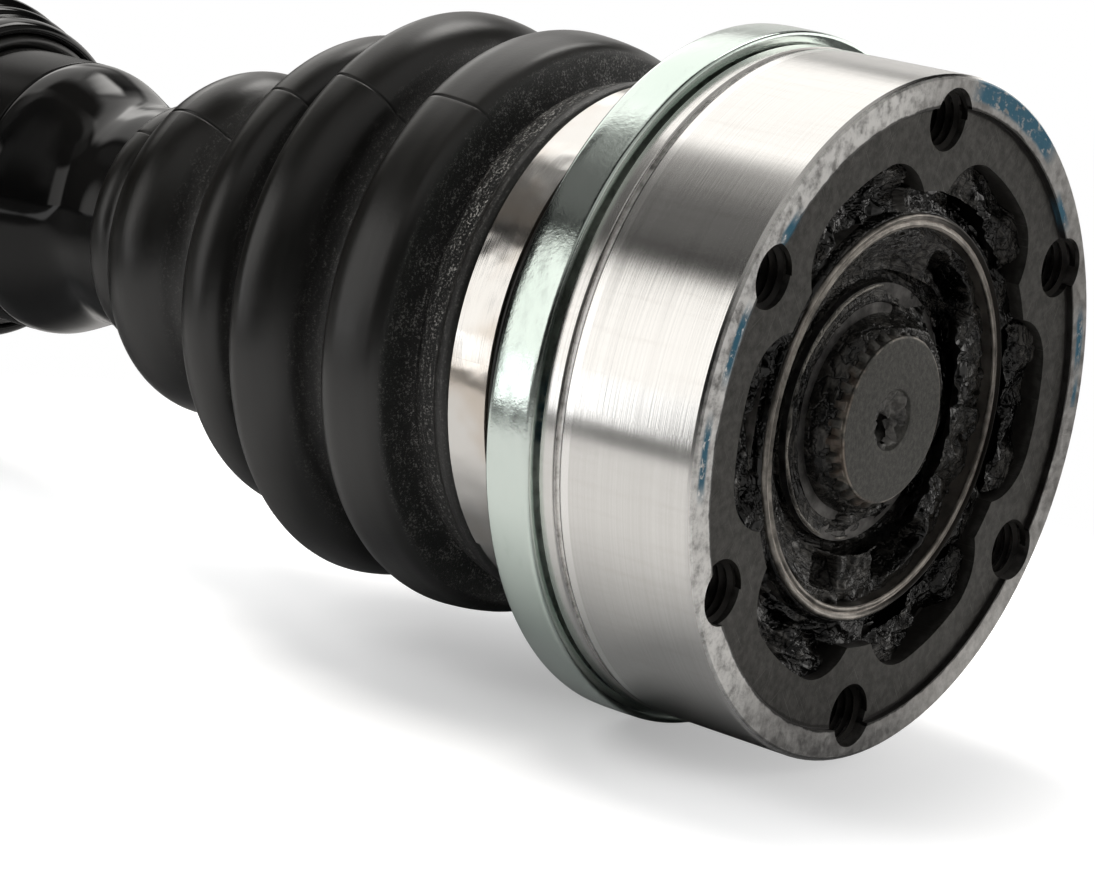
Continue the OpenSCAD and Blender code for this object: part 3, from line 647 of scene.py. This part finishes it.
def boot_zones(name, outline, cuts, mat, replaces):
    """Boot from its outline of (x, r) points. Cuts: x from, x to, and the body that moves it, or a pair of
    bodies, whose piece is left on no body.
    """
    line = curve_through(outline, 0.55)
    tang = np.gradient(line, axis=0)
    tang /= np.linalg.norm(tang, axis=1)[:, None]
    norm = np.stack([tang[:, 1], -tang[:, 0]], axis=1)
    if norm[len(norm) // 2][1] < 0:
        norm = -norm
    inside = line - BOOT_WALL * norm
    edges = [c[0] for c in cuts] + [cuts[-1][1]]
    index = [int(np.argmin(np.abs(line[:, 0] - e))) for e in edges]
    index[0], index[-1] = 0, len(line) - 1
    even = np.arange(BOOT_SEGS) * 360.0 / BOOT_SEGS
    near = [side + d for side in (MOULD_ANGLE, MOULD_ANGLE + 180) for d in MOULD_STEPS]
    ring = np.radians(np.unique(np.round(np.concatenate([even, near]), 3)))
    segs = len(ring)
    for z, (x_from, x_to, who) in enumerate(cuts):
        rows = slice(index[z], index[z + 1] + 1)
        verts = [around(x, r + mould_line(x, r, a), a) for x, r in line[rows] for a in ring]
        base = len(verts)
        verts += [around(x, r, a) for x, r in inside[rows] for a in ring]
        last = base - segs
        faces = []
        for o in range(0, last, segs):
            faces += strip_faces(o, o + segs, segs)
            faces += [f[::-1] for f in strip_faces(base + o, base + o + segs, segs)]
        if z == 0:
            faces += strip_faces(base, 0, segs)
        if z == len(cuts) - 1:
            faces += strip_faces(last, base + last, segs)
        obj = new_piece("%s_%d" % (name, z + 1), verts, faces, mat, who if isinstance(who, str) else None)
        if not isinstance(who, str):
            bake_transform(obj)
        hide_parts(replaces)


INNER_OUTLINE = [
    (-46.28, 42.45), (-46.5, 42.95), (-47.15, 42.95), (-47.4, 42.35), (-51.2, 42.35), (-55.1, 42.35),
    (-55.6, 43.2), (-57.6, 43.2), (-58.5, 42.6), (-60.2, 42.6), (-61.3, 42.2), (-62.5, 41.8),
    (-63.4, 40.8), (-64.2, 40.7), (-64.9, 41.8), (-65.5, 44.6), (-65.9, 46.5), (-67.1, 47.7),
    (-69.4, 48.3), (-72.2, 48.65), (-75.0, 48.7), (-77.0, 48.0), (-78.3, 46.2), (-79.4, 43.8),
    (-80.8, 41.4), (-82.7, 40.2), (-84.6, 40.1), (-86.2, 41.6), (-87.5, 44.2), (-89.2, 46.3),
    (-91.4, 47.6), (-94.0, 48.3), (-96.2, 48.35), (-98.0, 47.0), (-99.3, 44.4), (-100.4, 41.2),
    (-102.0, 38.0), (-104.2, 36.4), (-106.2, 37.7), (-107.6, 39.9), (-109.4, 41.3), (-111.8, 41.75),
    (-114.0, 41.3), (-116.2, 39.6), (-118.0, 36.8), (-120.2, 32.7), (-122.8, 28.6), (-125.6, 26.3),
    (-128.6, 25.8), (-131.0, 26.6), (-133.4, 28.6), (-136.2, 30.2), (-139.4, 30.9), (-142.4, 30.3),
    (-144.9, 28.7), (-147.0, 26.5), (-148.8, 24.0), (-150.3, 22.4), (-151.6, 22.2), (-152.8, 22.7),
    (-154.4, 22.8), (-155.7, 22.5), (-156.5, 21.7), (-156.6, 20.45)]
boot_zones("boot_skin", INNER_OUTLINE, [
    (-46.28, -56.0, "housing"),
    (-56.0, -78.0, ("housing", "plunging_core")),
    (-78.0, -101.0, ("plunging_core", "inner_boot")),
    (-101.0, -140.0, ("inner_boot", "shaft")),
    (-140.0, -156.6, "shaft")], "boot", "inner_boot")

# The outer boot's folds: place and radius of the first one, and the step from each to the next
OUTER_FOLDS = 5
OUTER_FIRST = -444.0
OUTER_PITCH = 15.0
OUTER_R = 47.4
OUTER_FALL = 4.0


def outer_outline():
    pts = [(-465.35, 46.0), (-465.4, 46.55), (-464.6, 46.6), (-464.3, 46.15), (-460.4, 46.15),
           (-456.5, 46.15), (-455.9, 46.9), (-453.4, 46.7), (-451.2, 45.4)]
    for k in range(OUTER_FOLDS):
        x = OUTER_FIRST + OUTER_PITCH * k
        r = OUTER_R - OUTER_FALL * k
        rise, brow = (4.0, 0.9) if k else (1.2, 0.3)
        pts += [(x - 4.4, r - rise), (x - 2.4, r - brow), (x, r), (x + 2.8, r - 1.2), (x + 5.0, r - 5.0)]
        if k < OUTER_FOLDS - 1:
            pts.append((x + 7.4, r - 9.2))
    return pts + [(-376.4, 23.6), (-374.6, 22.1), (-373.6, 22.6), (-372.2, 22.9), (-370.2, 22.7),
                  (-369.2, 21.8), (-369.1, 20.45)]


boot_zones("outer_boot_skin", outer_outline(), [
    (-465.35, -455.0, "bell"),
    (-455.0, -440.0, ("bell", "outer_boot")),
    (-440.0, -392.0, ("outer_boot", "shaft")),
    (-392.0, -369.1, "shaft")], "boot2", "outer_boot")


# Inner end of the shaft: glossy neck, and the splined end in the star

NECK = [
    (-140.0, 14.0), (-146.5, 19.0), (-149.4, 20.2), (-151.6, 20.35), (-158.0, 20.5), (-161.8, 20.55),
    (-164.4, 20.35), (-166.6, 20.2), (-168.4, 20.35), (-170.2, 20.8), (-172.4, 21.6), (-174.6, 22.55),
    (-176.8, 23.5), (-178.6, 24.25), (-180.2, 24.8), (-181.8, 25.08), (-183.0, 25.15), (-183.6, 25.05),
    (NECK_END, 24.8)]
neck = revolve("neck_skin", np.vstack([
    [(-39.0, 14.0)], curve_through(NECK, 0.4),
    [(NECK_END, 21.4), (-192.0, 21.4), (-192.0, 0.02), (-39.0, 0.02)]]), "paint", "shaft")
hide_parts("inner_stub")

# Tube between the two ends, with the damper's rubber sleeve and stepped ring
TUBE_END = min(v.co.x for v in nodes["tube"].data.vertices) / MM
tube = revolve("tube_skin", [
    (TUBE_START, 24.5), (-184.0, 24.95), (-184.3, 25.18), (TUBE_END + 0.3, 25.2), (TUBE_END, 24.95),
    (TUBE_END, 21.6), (TUBE_START, 21.6)], "paint", "shaft")
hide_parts("tube")
sleeve = revolve("damper_sleeve_skin", [
    (-200.2, 25.22), (-199.8, 26.4), (-200.1, 27.2), (-201.2, 27.62), (-240.2, 27.62), (-241.4, 27.2),
    (-241.8, 25.22)], "sleeve", "shaft")
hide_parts("damper_sleeve")
RING_FRONT = [
    (-201.4, 27.66), (-200.6, 27.9), (-200.3, 28.5), (-200.7, 29.3), (-201.8, 29.9), (-203.4, 30.25),
    (-205.2, 30.3), (-205.9, 30.5), (-206.4, 31.2), (-207.3, 31.65), (-208.6, 31.7), (-210.2, 31.5),
    (-210.8, 31.9), (-211.6, 32.9), (-213.2, 33.4), (-215.0, 33.5)]
RING_BACK = [(-236.5, 33.5), (-238.2, 33.3), (-239.4, 32.4), (RING_END, 31.2)]
ring = revolve("damper_ring_skin", np.vstack([
    curve_through(RING_FRONT, 0.25), curve_through(RING_BACK, 0.25), [(RING_END, 27.66)]]),
    "paint", "shaft", 192)
mark_creases(ring, 50)
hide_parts("damper_ring")


def spline_end():
    """Splined end with its flat disc and centre pit."""
    teeth, per = 30, 12
    crest, root = 14.3, 13.25
    segs = teeth * per

    def radius(k, top):
        u = (k % per) / per
        tooth = 1 - smooth01(abs(u - 0.5) * 2, 0.34, 0.66)
        return root + (crest - root) * tooth * top

    # x, radius, and how far the teeth stand out
    rows = [(-39.5, 16.1, 0), (-35.5, 16.1, 0), (-30.8, 16.1, 0), (-30.3, 15.7, 0), (-30.3, None, 1.0),
            (-12, None, 1.0), (-3.6, None, 1.0), (-3.0, None, 0.75), (-2.55, None, 0.3), (-2.3, 13.25, 0),
            (-1.95, 13.2, 0), (-1.82, 13.0, 0), (-1.8, 12.7, 0), (-1.8, 10.0, 0), (-1.8, 7.5, 0),
            (-1.8, 5.3, 0), (-1.86, 4.98, 0), (-2.05, 4.8, 0), (-2.9, 4.45, 0), (-4.2, 3.0, 0),
            (-5.2, 2.45, 0), (-8.0, 2.4, 0), (-9.6, 0.02, 0)]
    verts, faces = [], []
    for x, r, top in rows:
        for k in range(segs):
            a = 2 * math.pi * (k + 0.5 - per / 2) / segs
            verts.append(around(x, radius(k, top) if r is None else r, a))
    for i in range(len(rows) - 1):
        faces += strip_faces(i * segs, (i + 1) * segs, segs)
    faces.append(tuple(range(segs)))
    obj = new_piece("spline_end", verts, faces, "end", "shaft")
    mark_creases(obj, 30)
    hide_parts("inner_stub")


spline_end()


# Grease

def crumple(u, v, size, seed):
    """Flat patches that meet in soft creases, like a smeared paste. About -1 to 1."""
    q = Vector((u / size + seed * 3.7, v / size + seed * 1.9, seed * 5.3))
    shift = Vector((noise.noise(q * 0.9 + Vector((4, 0, 1))), noise.noise(q * 0.9 + Vector((0, 6, 2))), 0))
    q += shift * 0.8
    dist, sites = noise.voronoi(q)
    total, weight = 0.0, 0.0
    for d, site in zip(dist, sites):
        g = noise.cell_vector(site * 9.0 + Vector((seed, 3.0, 1.0)))
        w = math.exp(-9.0 * (d - dist[0]))
        lean = (q.x - site[0]) * (g[0] - 0.5) + (q.y - site[1]) * (g[1] - 0.5)
        total += w * ((g[2] - 0.5) * 1.3 + 1.9 * lean)
        weight += w
    return total / weight


def strings(u, v, seed):
    """Thin raised threads of paste."""
    q = Vector((u * 0.55 + seed, v * 0.16, seed * 2.1))
    q += Vector((noise.noise(q * 0.7), noise.noise(q * 0.7 + Vector((3, 3, 3))), 0)) * 1.1
    return max(0.0, 1.0 - abs(noise.noise(q)) * 7.0)


def turn_gap(a, centre):
    """Degrees between the angle a in radians and a place round the axis."""
    return abs((math.degrees(a) - centre + 180.0) % 360.0 - 180.0)


def grease_ring(name, body, r0, r1, height, nr, na):
    """Skin of grease between two radii. height(r, a) is its x, or None where there is none."""
    def point(j, i):
        a = 2 * math.pi * j / na
        r = r0 + (r1 - r0) * i / nr
        x = height(r, a)
        return None if x is None else around(x, r, a)

    return net(name, point, na, nr + 1, "grease", body, closed=True)


def lobe_gap(a):
    """Degrees from the middle of the nearest ball track."""
    return abs((math.degrees(a) + 30) % 60 - 30)


def mouth_height(r, a):
    d = lobe_gap(a)
    edge = 42.7 - 7.6 * smooth01(d, 17.0, 25.5) + 0.5 * noise.noise(Vector((a * 9.0, 1.0, 2.0)))
    if r > edge + 0.6:
        return None
    u, v = r, a * 38.0
    floor = smooth01(d, 7.0, 12.0) * smooth01(r, 36.8, 38.8)
    tall = crumple(u * 1.1, v * 0.8, 4.6, 1.0) + 0.3 * crumple(u, v, 1.9, 4.0)
    thread = strings(u, v, 6.0)
    bank = smooth01(noise.noise(Vector((a * 2.3, 4.0, 0.0))), -0.2, 0.4)
    lift = 1.6 * bank * smooth01(40.5 - r, -1.0, 3.0)
    paste = -5.0 + lift + 1.7 * tall + 0.3 * thread
    film = -3.0 + 0.35 * crumple(u, v, 3.4, 2.0) + 0.3 * thread
    x = paste * (1 - floor) + film * floor
    return min(-1.7, x - 0.8 * (1 - smooth01(edge - r, -0.2, 0.7)))


def collar_height(r, a):
    """Paste over the outside of the cage, from its rim down to the tracks."""
    ball = INNER_X + math.sqrt(max(0.0, CAGE_R ** 2 - r * r))
    u, v = r, a * 34.0
    d = lobe_gap(a)
    fill = -4.6 - 1.3 * smooth01(r, 33.0, 36.0) + crumple(u * 1.2, v * 0.8, 3.8, 3.0)
    fill += 0.35 * strings(u, v, 4.0) + 0.25 * crumple(u, v, 1.4, 9.0) - (1 - smooth01(d, 6.0, 16.0))
    land = smooth01(d, 19.0, 24.0)
    fill = fill * (1 - land) + (-3.4 + 0.5 * crumple(u, v, 2.4, 1.0)) * land
    return min(-1.9, max(fill, min(ball + 0.25, -3.2)) if r < 33.0 else fill)


def cage_height(r, a):
    """Paste between the star and the cage: a thin film on one side, deep holes and lumps on the other."""
    u, v = r, a * 27.0
    near_rim = smooth01(r, 26.6, 29.7)
    film = -8.3 + 3.6 * smooth01(r, 22.8, 29.3) + 0.5 * crumple(u, v, 3.4, 3.0)
    film += 0.35 * strings(u * 1.5, v * 0.7, 2.0)
    lumps = -4.9 + 1.3 * crumple(u, v * 0.9, 4.6, 7.0) + 0.5 * crumple(u, v, 2.0, 8.0) - 0.3 * near_rim
    side = smooth01(turn_gap(a, 340.0), 75.0, 105.0)
    x = film * side + lumps * (1 - side)
    for place, width, depth in ((52.0, 17.0, 9.0), (300.0, 15.0, 7.0), (256.0, 8.0, 3.5)):
        hole = 1 - smooth01(turn_gap(a, place), width * 0.55, width)
        x -= depth * hole * smooth01(r, 22.4, 24.2) * (1 - smooth01(r, 26.6, 28.4))
    return max(-16.0, min(x, -3.7 - 0.6 * near_rim))


HUB_X = -7.4
CLIP_X = -5.85


def star_height(r, a):
    """Star's face under its film: hub with a bright edge, groove, circlip, and paste over one side."""
    u, v = r, a * 19.0
    folds = strings(u * 2.2, v * 0.5, 9.0)
    wrinkle = 0.3 * crumple(u * 1.3, v * 0.7, 2.4, 5.0) + 0.35 * folds
    hub = smooth01(r, 17.0, 17.5) * (1 - smooth01(r, 20.3, 20.7))
    clip = 1 - smooth01(r, 15.4, 16.0)
    bare = -10.0 + (HUB_X + 10.1) * hub + (CLIP_X + 9.2) * clip + 0.25 * math.exp(-((r - 20.1) / 0.3) ** 2)
    bare -= 0.6 * smooth01(r, 22.0, 25.0)
    left = bare + wrinkle * (0.55 + 0.45 * smooth01(r, 20.8, 22.0))
    rise = 3.9 * (1 - smooth01(r, 13.8, 21.0))
    right = -8.4 + rise + 1.5 * crumple(u, v, 4.6, 6.0) + 0.25 * crumple(u, v, 2.0, 2.0) + 0.2 * folds
    wander = 20.0 * noise.noise(Vector((math.cos(a) * 2, math.sin(a) * 2, r * 0.2)))
    over = 1 - smooth01(turn_gap(a, 15.0) + wander, 50.0, 90.0)
    bottom = (1 - smooth01(turn_gap(a, 295.0), 25.0, 50.0)) * smooth01(r, 14.5, 17.0)
    over = max(over, 0.85 * bottom)
    x = left * (1 - over) + right * over
    # paste slopes up to the shaft's end, and leaves a few teeth bare low on one side
    lip = 1 - smooth01(r, 13.7, 16.6)
    bare_teeth = 1 - smooth01(turn_gap(a, 218.0), 24.0, 50.0)
    x += lip * (3.1 - 0.5 * bare_teeth)
    return min(x, -2.6)


grease_out = grease_ring("grease_mouth_lumps", "housing", 36.0, 43.6, mouth_height, 42, 1080)
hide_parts("grease_mouths")
grease_ring("grease_collar_lumps", "inner_cage", 32.0, 36.2, collar_height, 24, 1080)
grease_in = grease_ring("grease_cage_lumps", "inner_cage", 22.4, 30.0, cage_height, 42, 900)
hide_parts("grease_core")
grease_star = grease_ring("grease_star_lumps", "shaft", 13.45, 25.4, star_height, 64, 760)
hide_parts("grease_core")

# Two worn beads round the cage's rim
RIM = [
    (-3.5, 29.96), (-3.1, 30.0), (-2.84, 30.2), (-2.8, 30.5), (-2.98, 30.8), (-3.02, 31.1),
    (-2.78, 31.35), (-2.6, 31.7), (-2.74, 32.05), (-3.2, 32.25), (-3.8, 32.2)]
revolve("cage_rim_beads", curve_through(RIM, 0.12), "rim", "inner_cage", 288,
        lambda x, r, a: 0.07 * noise.noise(Vector((math.cos(a) * 14, math.sin(a) * 14, x * 2))))


# Cap of the inner joint, pressed from sheet

CAP_LIP = [(-28.5, 54.6), (-28.4, 55.5), (-28.55, 55.85), (-28.9, 55.98), (-30.0, 56.02), (-32.6, 56.05),
           (-35.4, 56.02), (-36.3, 55.9), (-36.7, 55.5), (-36.8, 54.4), (-36.65, 53.2)]
CAP_NECK = [(-36.65, 45.9), (-36.85, 45.0), (-37.6, 44.35), (-40.0, 44.25), (-43.2, 44.22), (-44.5, 43.6),
            (-45.4, 42.3), (-46.3, 41.35), (-47.5, 41.2), (-52.0, 41.2), (-57.6, 41.2), (-58.6, 41.05),
            (-58.95, 40.6)]
CAP_INSIDE = [(-58.95, 39.6), (-45.65, 39.6), (-43.05, 42.65), (-35.15, 42.65), (-35.15, 52.06)]
cap_skin = revolve("cap_skin", np.vstack([
    [(-28.65, 52.06)], curve_through(CAP_LIP, 0.25), curve_through(CAP_NECK, 0.5), CAP_INSIDE]),
    "zinc", "housing", 288)
mark_creases(cap_skin, 40)
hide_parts("inner_cap")


# Threads in the six bolt holes, and dirt in the centre pit

def bolt_threads():
    pitch, depth, turns, per = 1.5, 0.72, 12, 40
    steps = turns * per
    verts, faces = [], []
    for hole in range(6):
        a = math.radians(30 + 60 * hole)
        cy = BOLT_CIRCLE_R * math.cos(a)
        cz = BOLT_CIRCLE_R * math.sin(a)
        start = len(verts)
        for k in range(steps + 1):
            b = 2 * math.pi * k / per
            x = -1.3 - pitch * k / per
            grow = min(1.0, k / 12, (steps - k) / 12)
            for dx, dr in ((0.55, 0.0), (0.0, -depth * grow), (-0.55, 0.0)):
                r = BOLT_HOLE_R + dr
                verts.append(((x + dx) * MM, (cy + r * math.cos(b)) * MM, (cz + r * math.sin(b)) * MM))
        for k in range(steps):
            i = start + 3 * k
            for s in (0, 1):
                faces.append((i + s, i + 3 + s, i + 4 + s, i + 1 + s))
            faces.append((i + 2, i + 5, i + 3, i))
    mark_creases(new_piece("bolt_threads", verts, faces, "thread", "housing"), 30)


bolt_threads()


def pit_dirt():
    """Crumpled dirt that fills the upper part of the centre pit."""
    n = 44

    def point(i, j):
        y = -4.9 + 9.8 * i / (n - 1)
        z = -4.9 + 9.8 * j / (n - 1)
        r = math.hypot(y, z)
        if r > PIT_R or math.hypot(y + 0.9, z + 1.5) < 2.1:
            return None
        h = -3.4 + 1.1 * crumple(y, z, 1.7, 3.0) + 0.9 * smooth01(r, 2.5, 4.8)
        h += 0.35 * crumple(y, z, 0.7, 5.0)
        return (min(h, -2.1) * MM, y * MM, z * MM)

    net("pit_dirt", point, n, n, "dirt", "shaft")


pit_dirt()


# Stage and light

FLOOR_GREY = 0.45
FLOOR_SIDES = 96
FLOOR_R = 7.0
FLOOR_GAP = 0.0002


def make_floor():
    z = cad_box[0][2]
    verts = []
    for k in range(FLOOR_SIDES):
        a = 2 * math.pi * k / FLOOR_SIDES
        verts.append((FLOOR_R * math.cos(a) - 0.2, FLOOR_R * math.sin(a), z - FLOOR_GAP))
    mesh = bpy.data.meshes.new("floor")
    mesh.from_pydata(verts, [], [tuple(range(FLOOR_SIDES))])
    floor = bpy.data.objects.new("floor", mesh)
    bpy.context.scene.collection.objects.link(floor)
    mat = bpy.data.materials.new("floor")
    mat.use_nodes = True
    mat.node_tree.nodes.clear()
    g = Nodes(mat.node_tree)
    place = g.add("ShaderNodeTexCoord").outputs["Object"]
    distance = g.add("ShaderNodeVectorMath", operation="DISTANCE")
    distance.inputs[1].default_value = (-0.045, -0.02, z)
    g.link(place, distance.inputs[0])
    away = distance.outputs["Value"]
    x, y, _ = g.split(place)
    az = g.mul(g.math("ARCTAN2", y, x), 180 / math.pi)
    rays = g.add("ShaderNodeLightPath").outputs
    glossy = rays["Is Glossy Ray"]
    camera = rays["Is Camera Ray"]
    # seen only in reflections, the paper is painted darker far away, with a painted dark line before a
    # bright strip on one side
    shade = g.invert(g.mul(glossy, g.step(away, 0.16, 0.30, 0.2, 0.85)))
    line = g.mul(g.mul(g.step(az, -142, -134), g.step(az, -96, -106)), glossy)
    line = g.mul(line, g.mul(g.step(away, 0.172, 0.188), g.step(away, 0.262, 0.25)))
    shade = g.mul(shade, g.invert(g.mul(line, 0.75)))
    grey = g.add("ShaderNodeCombineColor")
    for k in range(3):
        g.link(g.mul(shade, FLOOR_GREY), grey.inputs[k])
    diffuse = g.add("ShaderNodeBsdfDiffuse")
    g.link(grey.outputs[0], diffuse.inputs[0])
    # painted reflection: this strip of the paper glows like a lamp, but only in reflections
    strip = g.mul(g.mul(g.step(az, -136, -131), g.step(az, -119, -124)), glossy)
    strip = g.mul(g.mul(strip, g.step(away, 0.25, 0.29)), 1.7)
    # the paper glows a little towards the camera, and more far away, so that it ends in white
    glow = g.mul(camera, g.step(away, 0.0, 0.108, 0.35, 0.81))
    far = g.mul(camera, g.step(away, 0.15, 0.60, 0.0, 0.2))
    emission = g.add("ShaderNodeEmission")
    emission.inputs[0].default_value = (1, 1, 1, 1)
    g.link(g.plus(g.plus(glow, far), strip), emission.inputs[1])
    paper = g.add("ShaderNodeAddShader")
    g.link(diffuse.outputs[0], paper.inputs[0])
    g.link(emission.outputs[0], paper.inputs[1])
    # far away, where it is white, it lets the background and a lowered shaft show
    seen = g.highest([camera, rays["Is Shadow Ray"]])
    clear = g.add("ShaderNodeBsdfTransparent")
    surface = g.mix_shaders(g.mul(seen, g.step(away, 0.2, 0.25)), paper, clear)
    g.link(surface.outputs[0], g.add("ShaderNodeOutputMaterial").inputs[0])
    mesh.materials.append(mat)


def area(name, loc, target, size, power, color=(1, 1, 1)):
    """Lamp with a rectangular face that shows in no reflection."""
    light = bpy.data.lights.new(name, "AREA")
    light.shape = "RECTANGLE"
    light.size, light.size_y = size
    light.energy = power
    light.color = color
    obj = bpy.data.objects.new(name, light)
    bpy.context.scene.collection.objects.link(obj)
    obj.location = loc
    obj.rotation_euler = (Vector(target) - Vector(loc)).to_track_quat("-Z", "Y").to_euler()
    obj.visible_glossy = False


SKY = (  # azimuth from, to, elevation from, to, softness, level
    (138, 156, 18, 34, 4, 1.6),
    (124, 186, 26, 66, 6, 1.3),
    (98, 122, 43, 66, 3, 5.0),
    (180, 214, 54, 76, 8, 0.6),
    (196, 229, 36, 54, 4, 0.13),
    (225, 253, -4, 31, 3, 1.3),
    (253, 268, 13, 37, 6, 0.2),
    (266, 400, 28, 72, 14, 0.4),
    (-40, 60, 28, 72, 14, 0.4),
    (48, 108, -11, 26, 4, 1.6),
    (48, 108, -36, -11, 4, 1.0),
    (108, 139, -34, 22, 4, 0.7),
    (-40, 48, -30, 25, 10, 0.8),
)


SKY_LEVEL = 0.01
FILL_LEVEL = 0.13


def make_world():
    world = bpy.data.worlds.new("studio")
    bpy.context.scene.world = world
    world.use_nodes = True
    world.cycles.sampling_method = "NONE"
    world.node_tree.nodes.clear()
    g = Nodes(world.node_tree)

    def background(color, strength):
        n = g.add("ShaderNodeBackground")
        g.put(color, n.inputs[0])
        g.put(strength, n.inputs[1])
        return n

    x, y, z = g.split(g.add("ShaderNodeTexCoord").outputs["Generated"])
    az = g.turn(x, y)[1]
    el = g.math("DEGREES", g.math("ARCSINE", z))
    total = SKY_LEVEL
    for az0, az1, el0, el1, soft, level in SKY:
        wide = g.mul(g.step(az, az0 - soft, az0 + soft), g.step(az, az1 + soft, az1 - soft))
        high = g.mul(g.step(el, el0 - soft, el0 + soft), g.step(el, el1 + soft, el1 - soft))
        total = g.plus(total, g.mul(g.mul(wide, high), level))
    rays = g.add("ShaderNodeLightPath").outputs
    seen = g.highest([rays["Is Camera Ray"], rays["Is Transmission Ray"]])
    fill = background((0.95, 0.97, 1.0), FILL_LEVEL)
    lit = g.mix_shaders(rays["Is Glossy Ray"], fill, background((1, 0.98, 0.95), total))
    whole = g.mix_shaders(seen, lit, background((1, 1, 1), 1.0))
    g.link(whole.outputs[0], g.add("ShaderNodeOutputWorld").inputs[0])


make_floor()
make_world()
area("top", (-0.55, 0.15, 1.15), (-0.1, 0, 0), (0.9, 0.8), 34, (1.0, 0.97, 0.93))
area("back", (-0.8, -0.75, 0.85), (-0.1, 0, 0), (0.7, 0.6), 12)
area("right", (1.1, 0.5, 0.6), (-0.02, 0, 0), (0.8, 0.8), 5)

bpy.context.scene.view_settings.view_transform = "Standard"
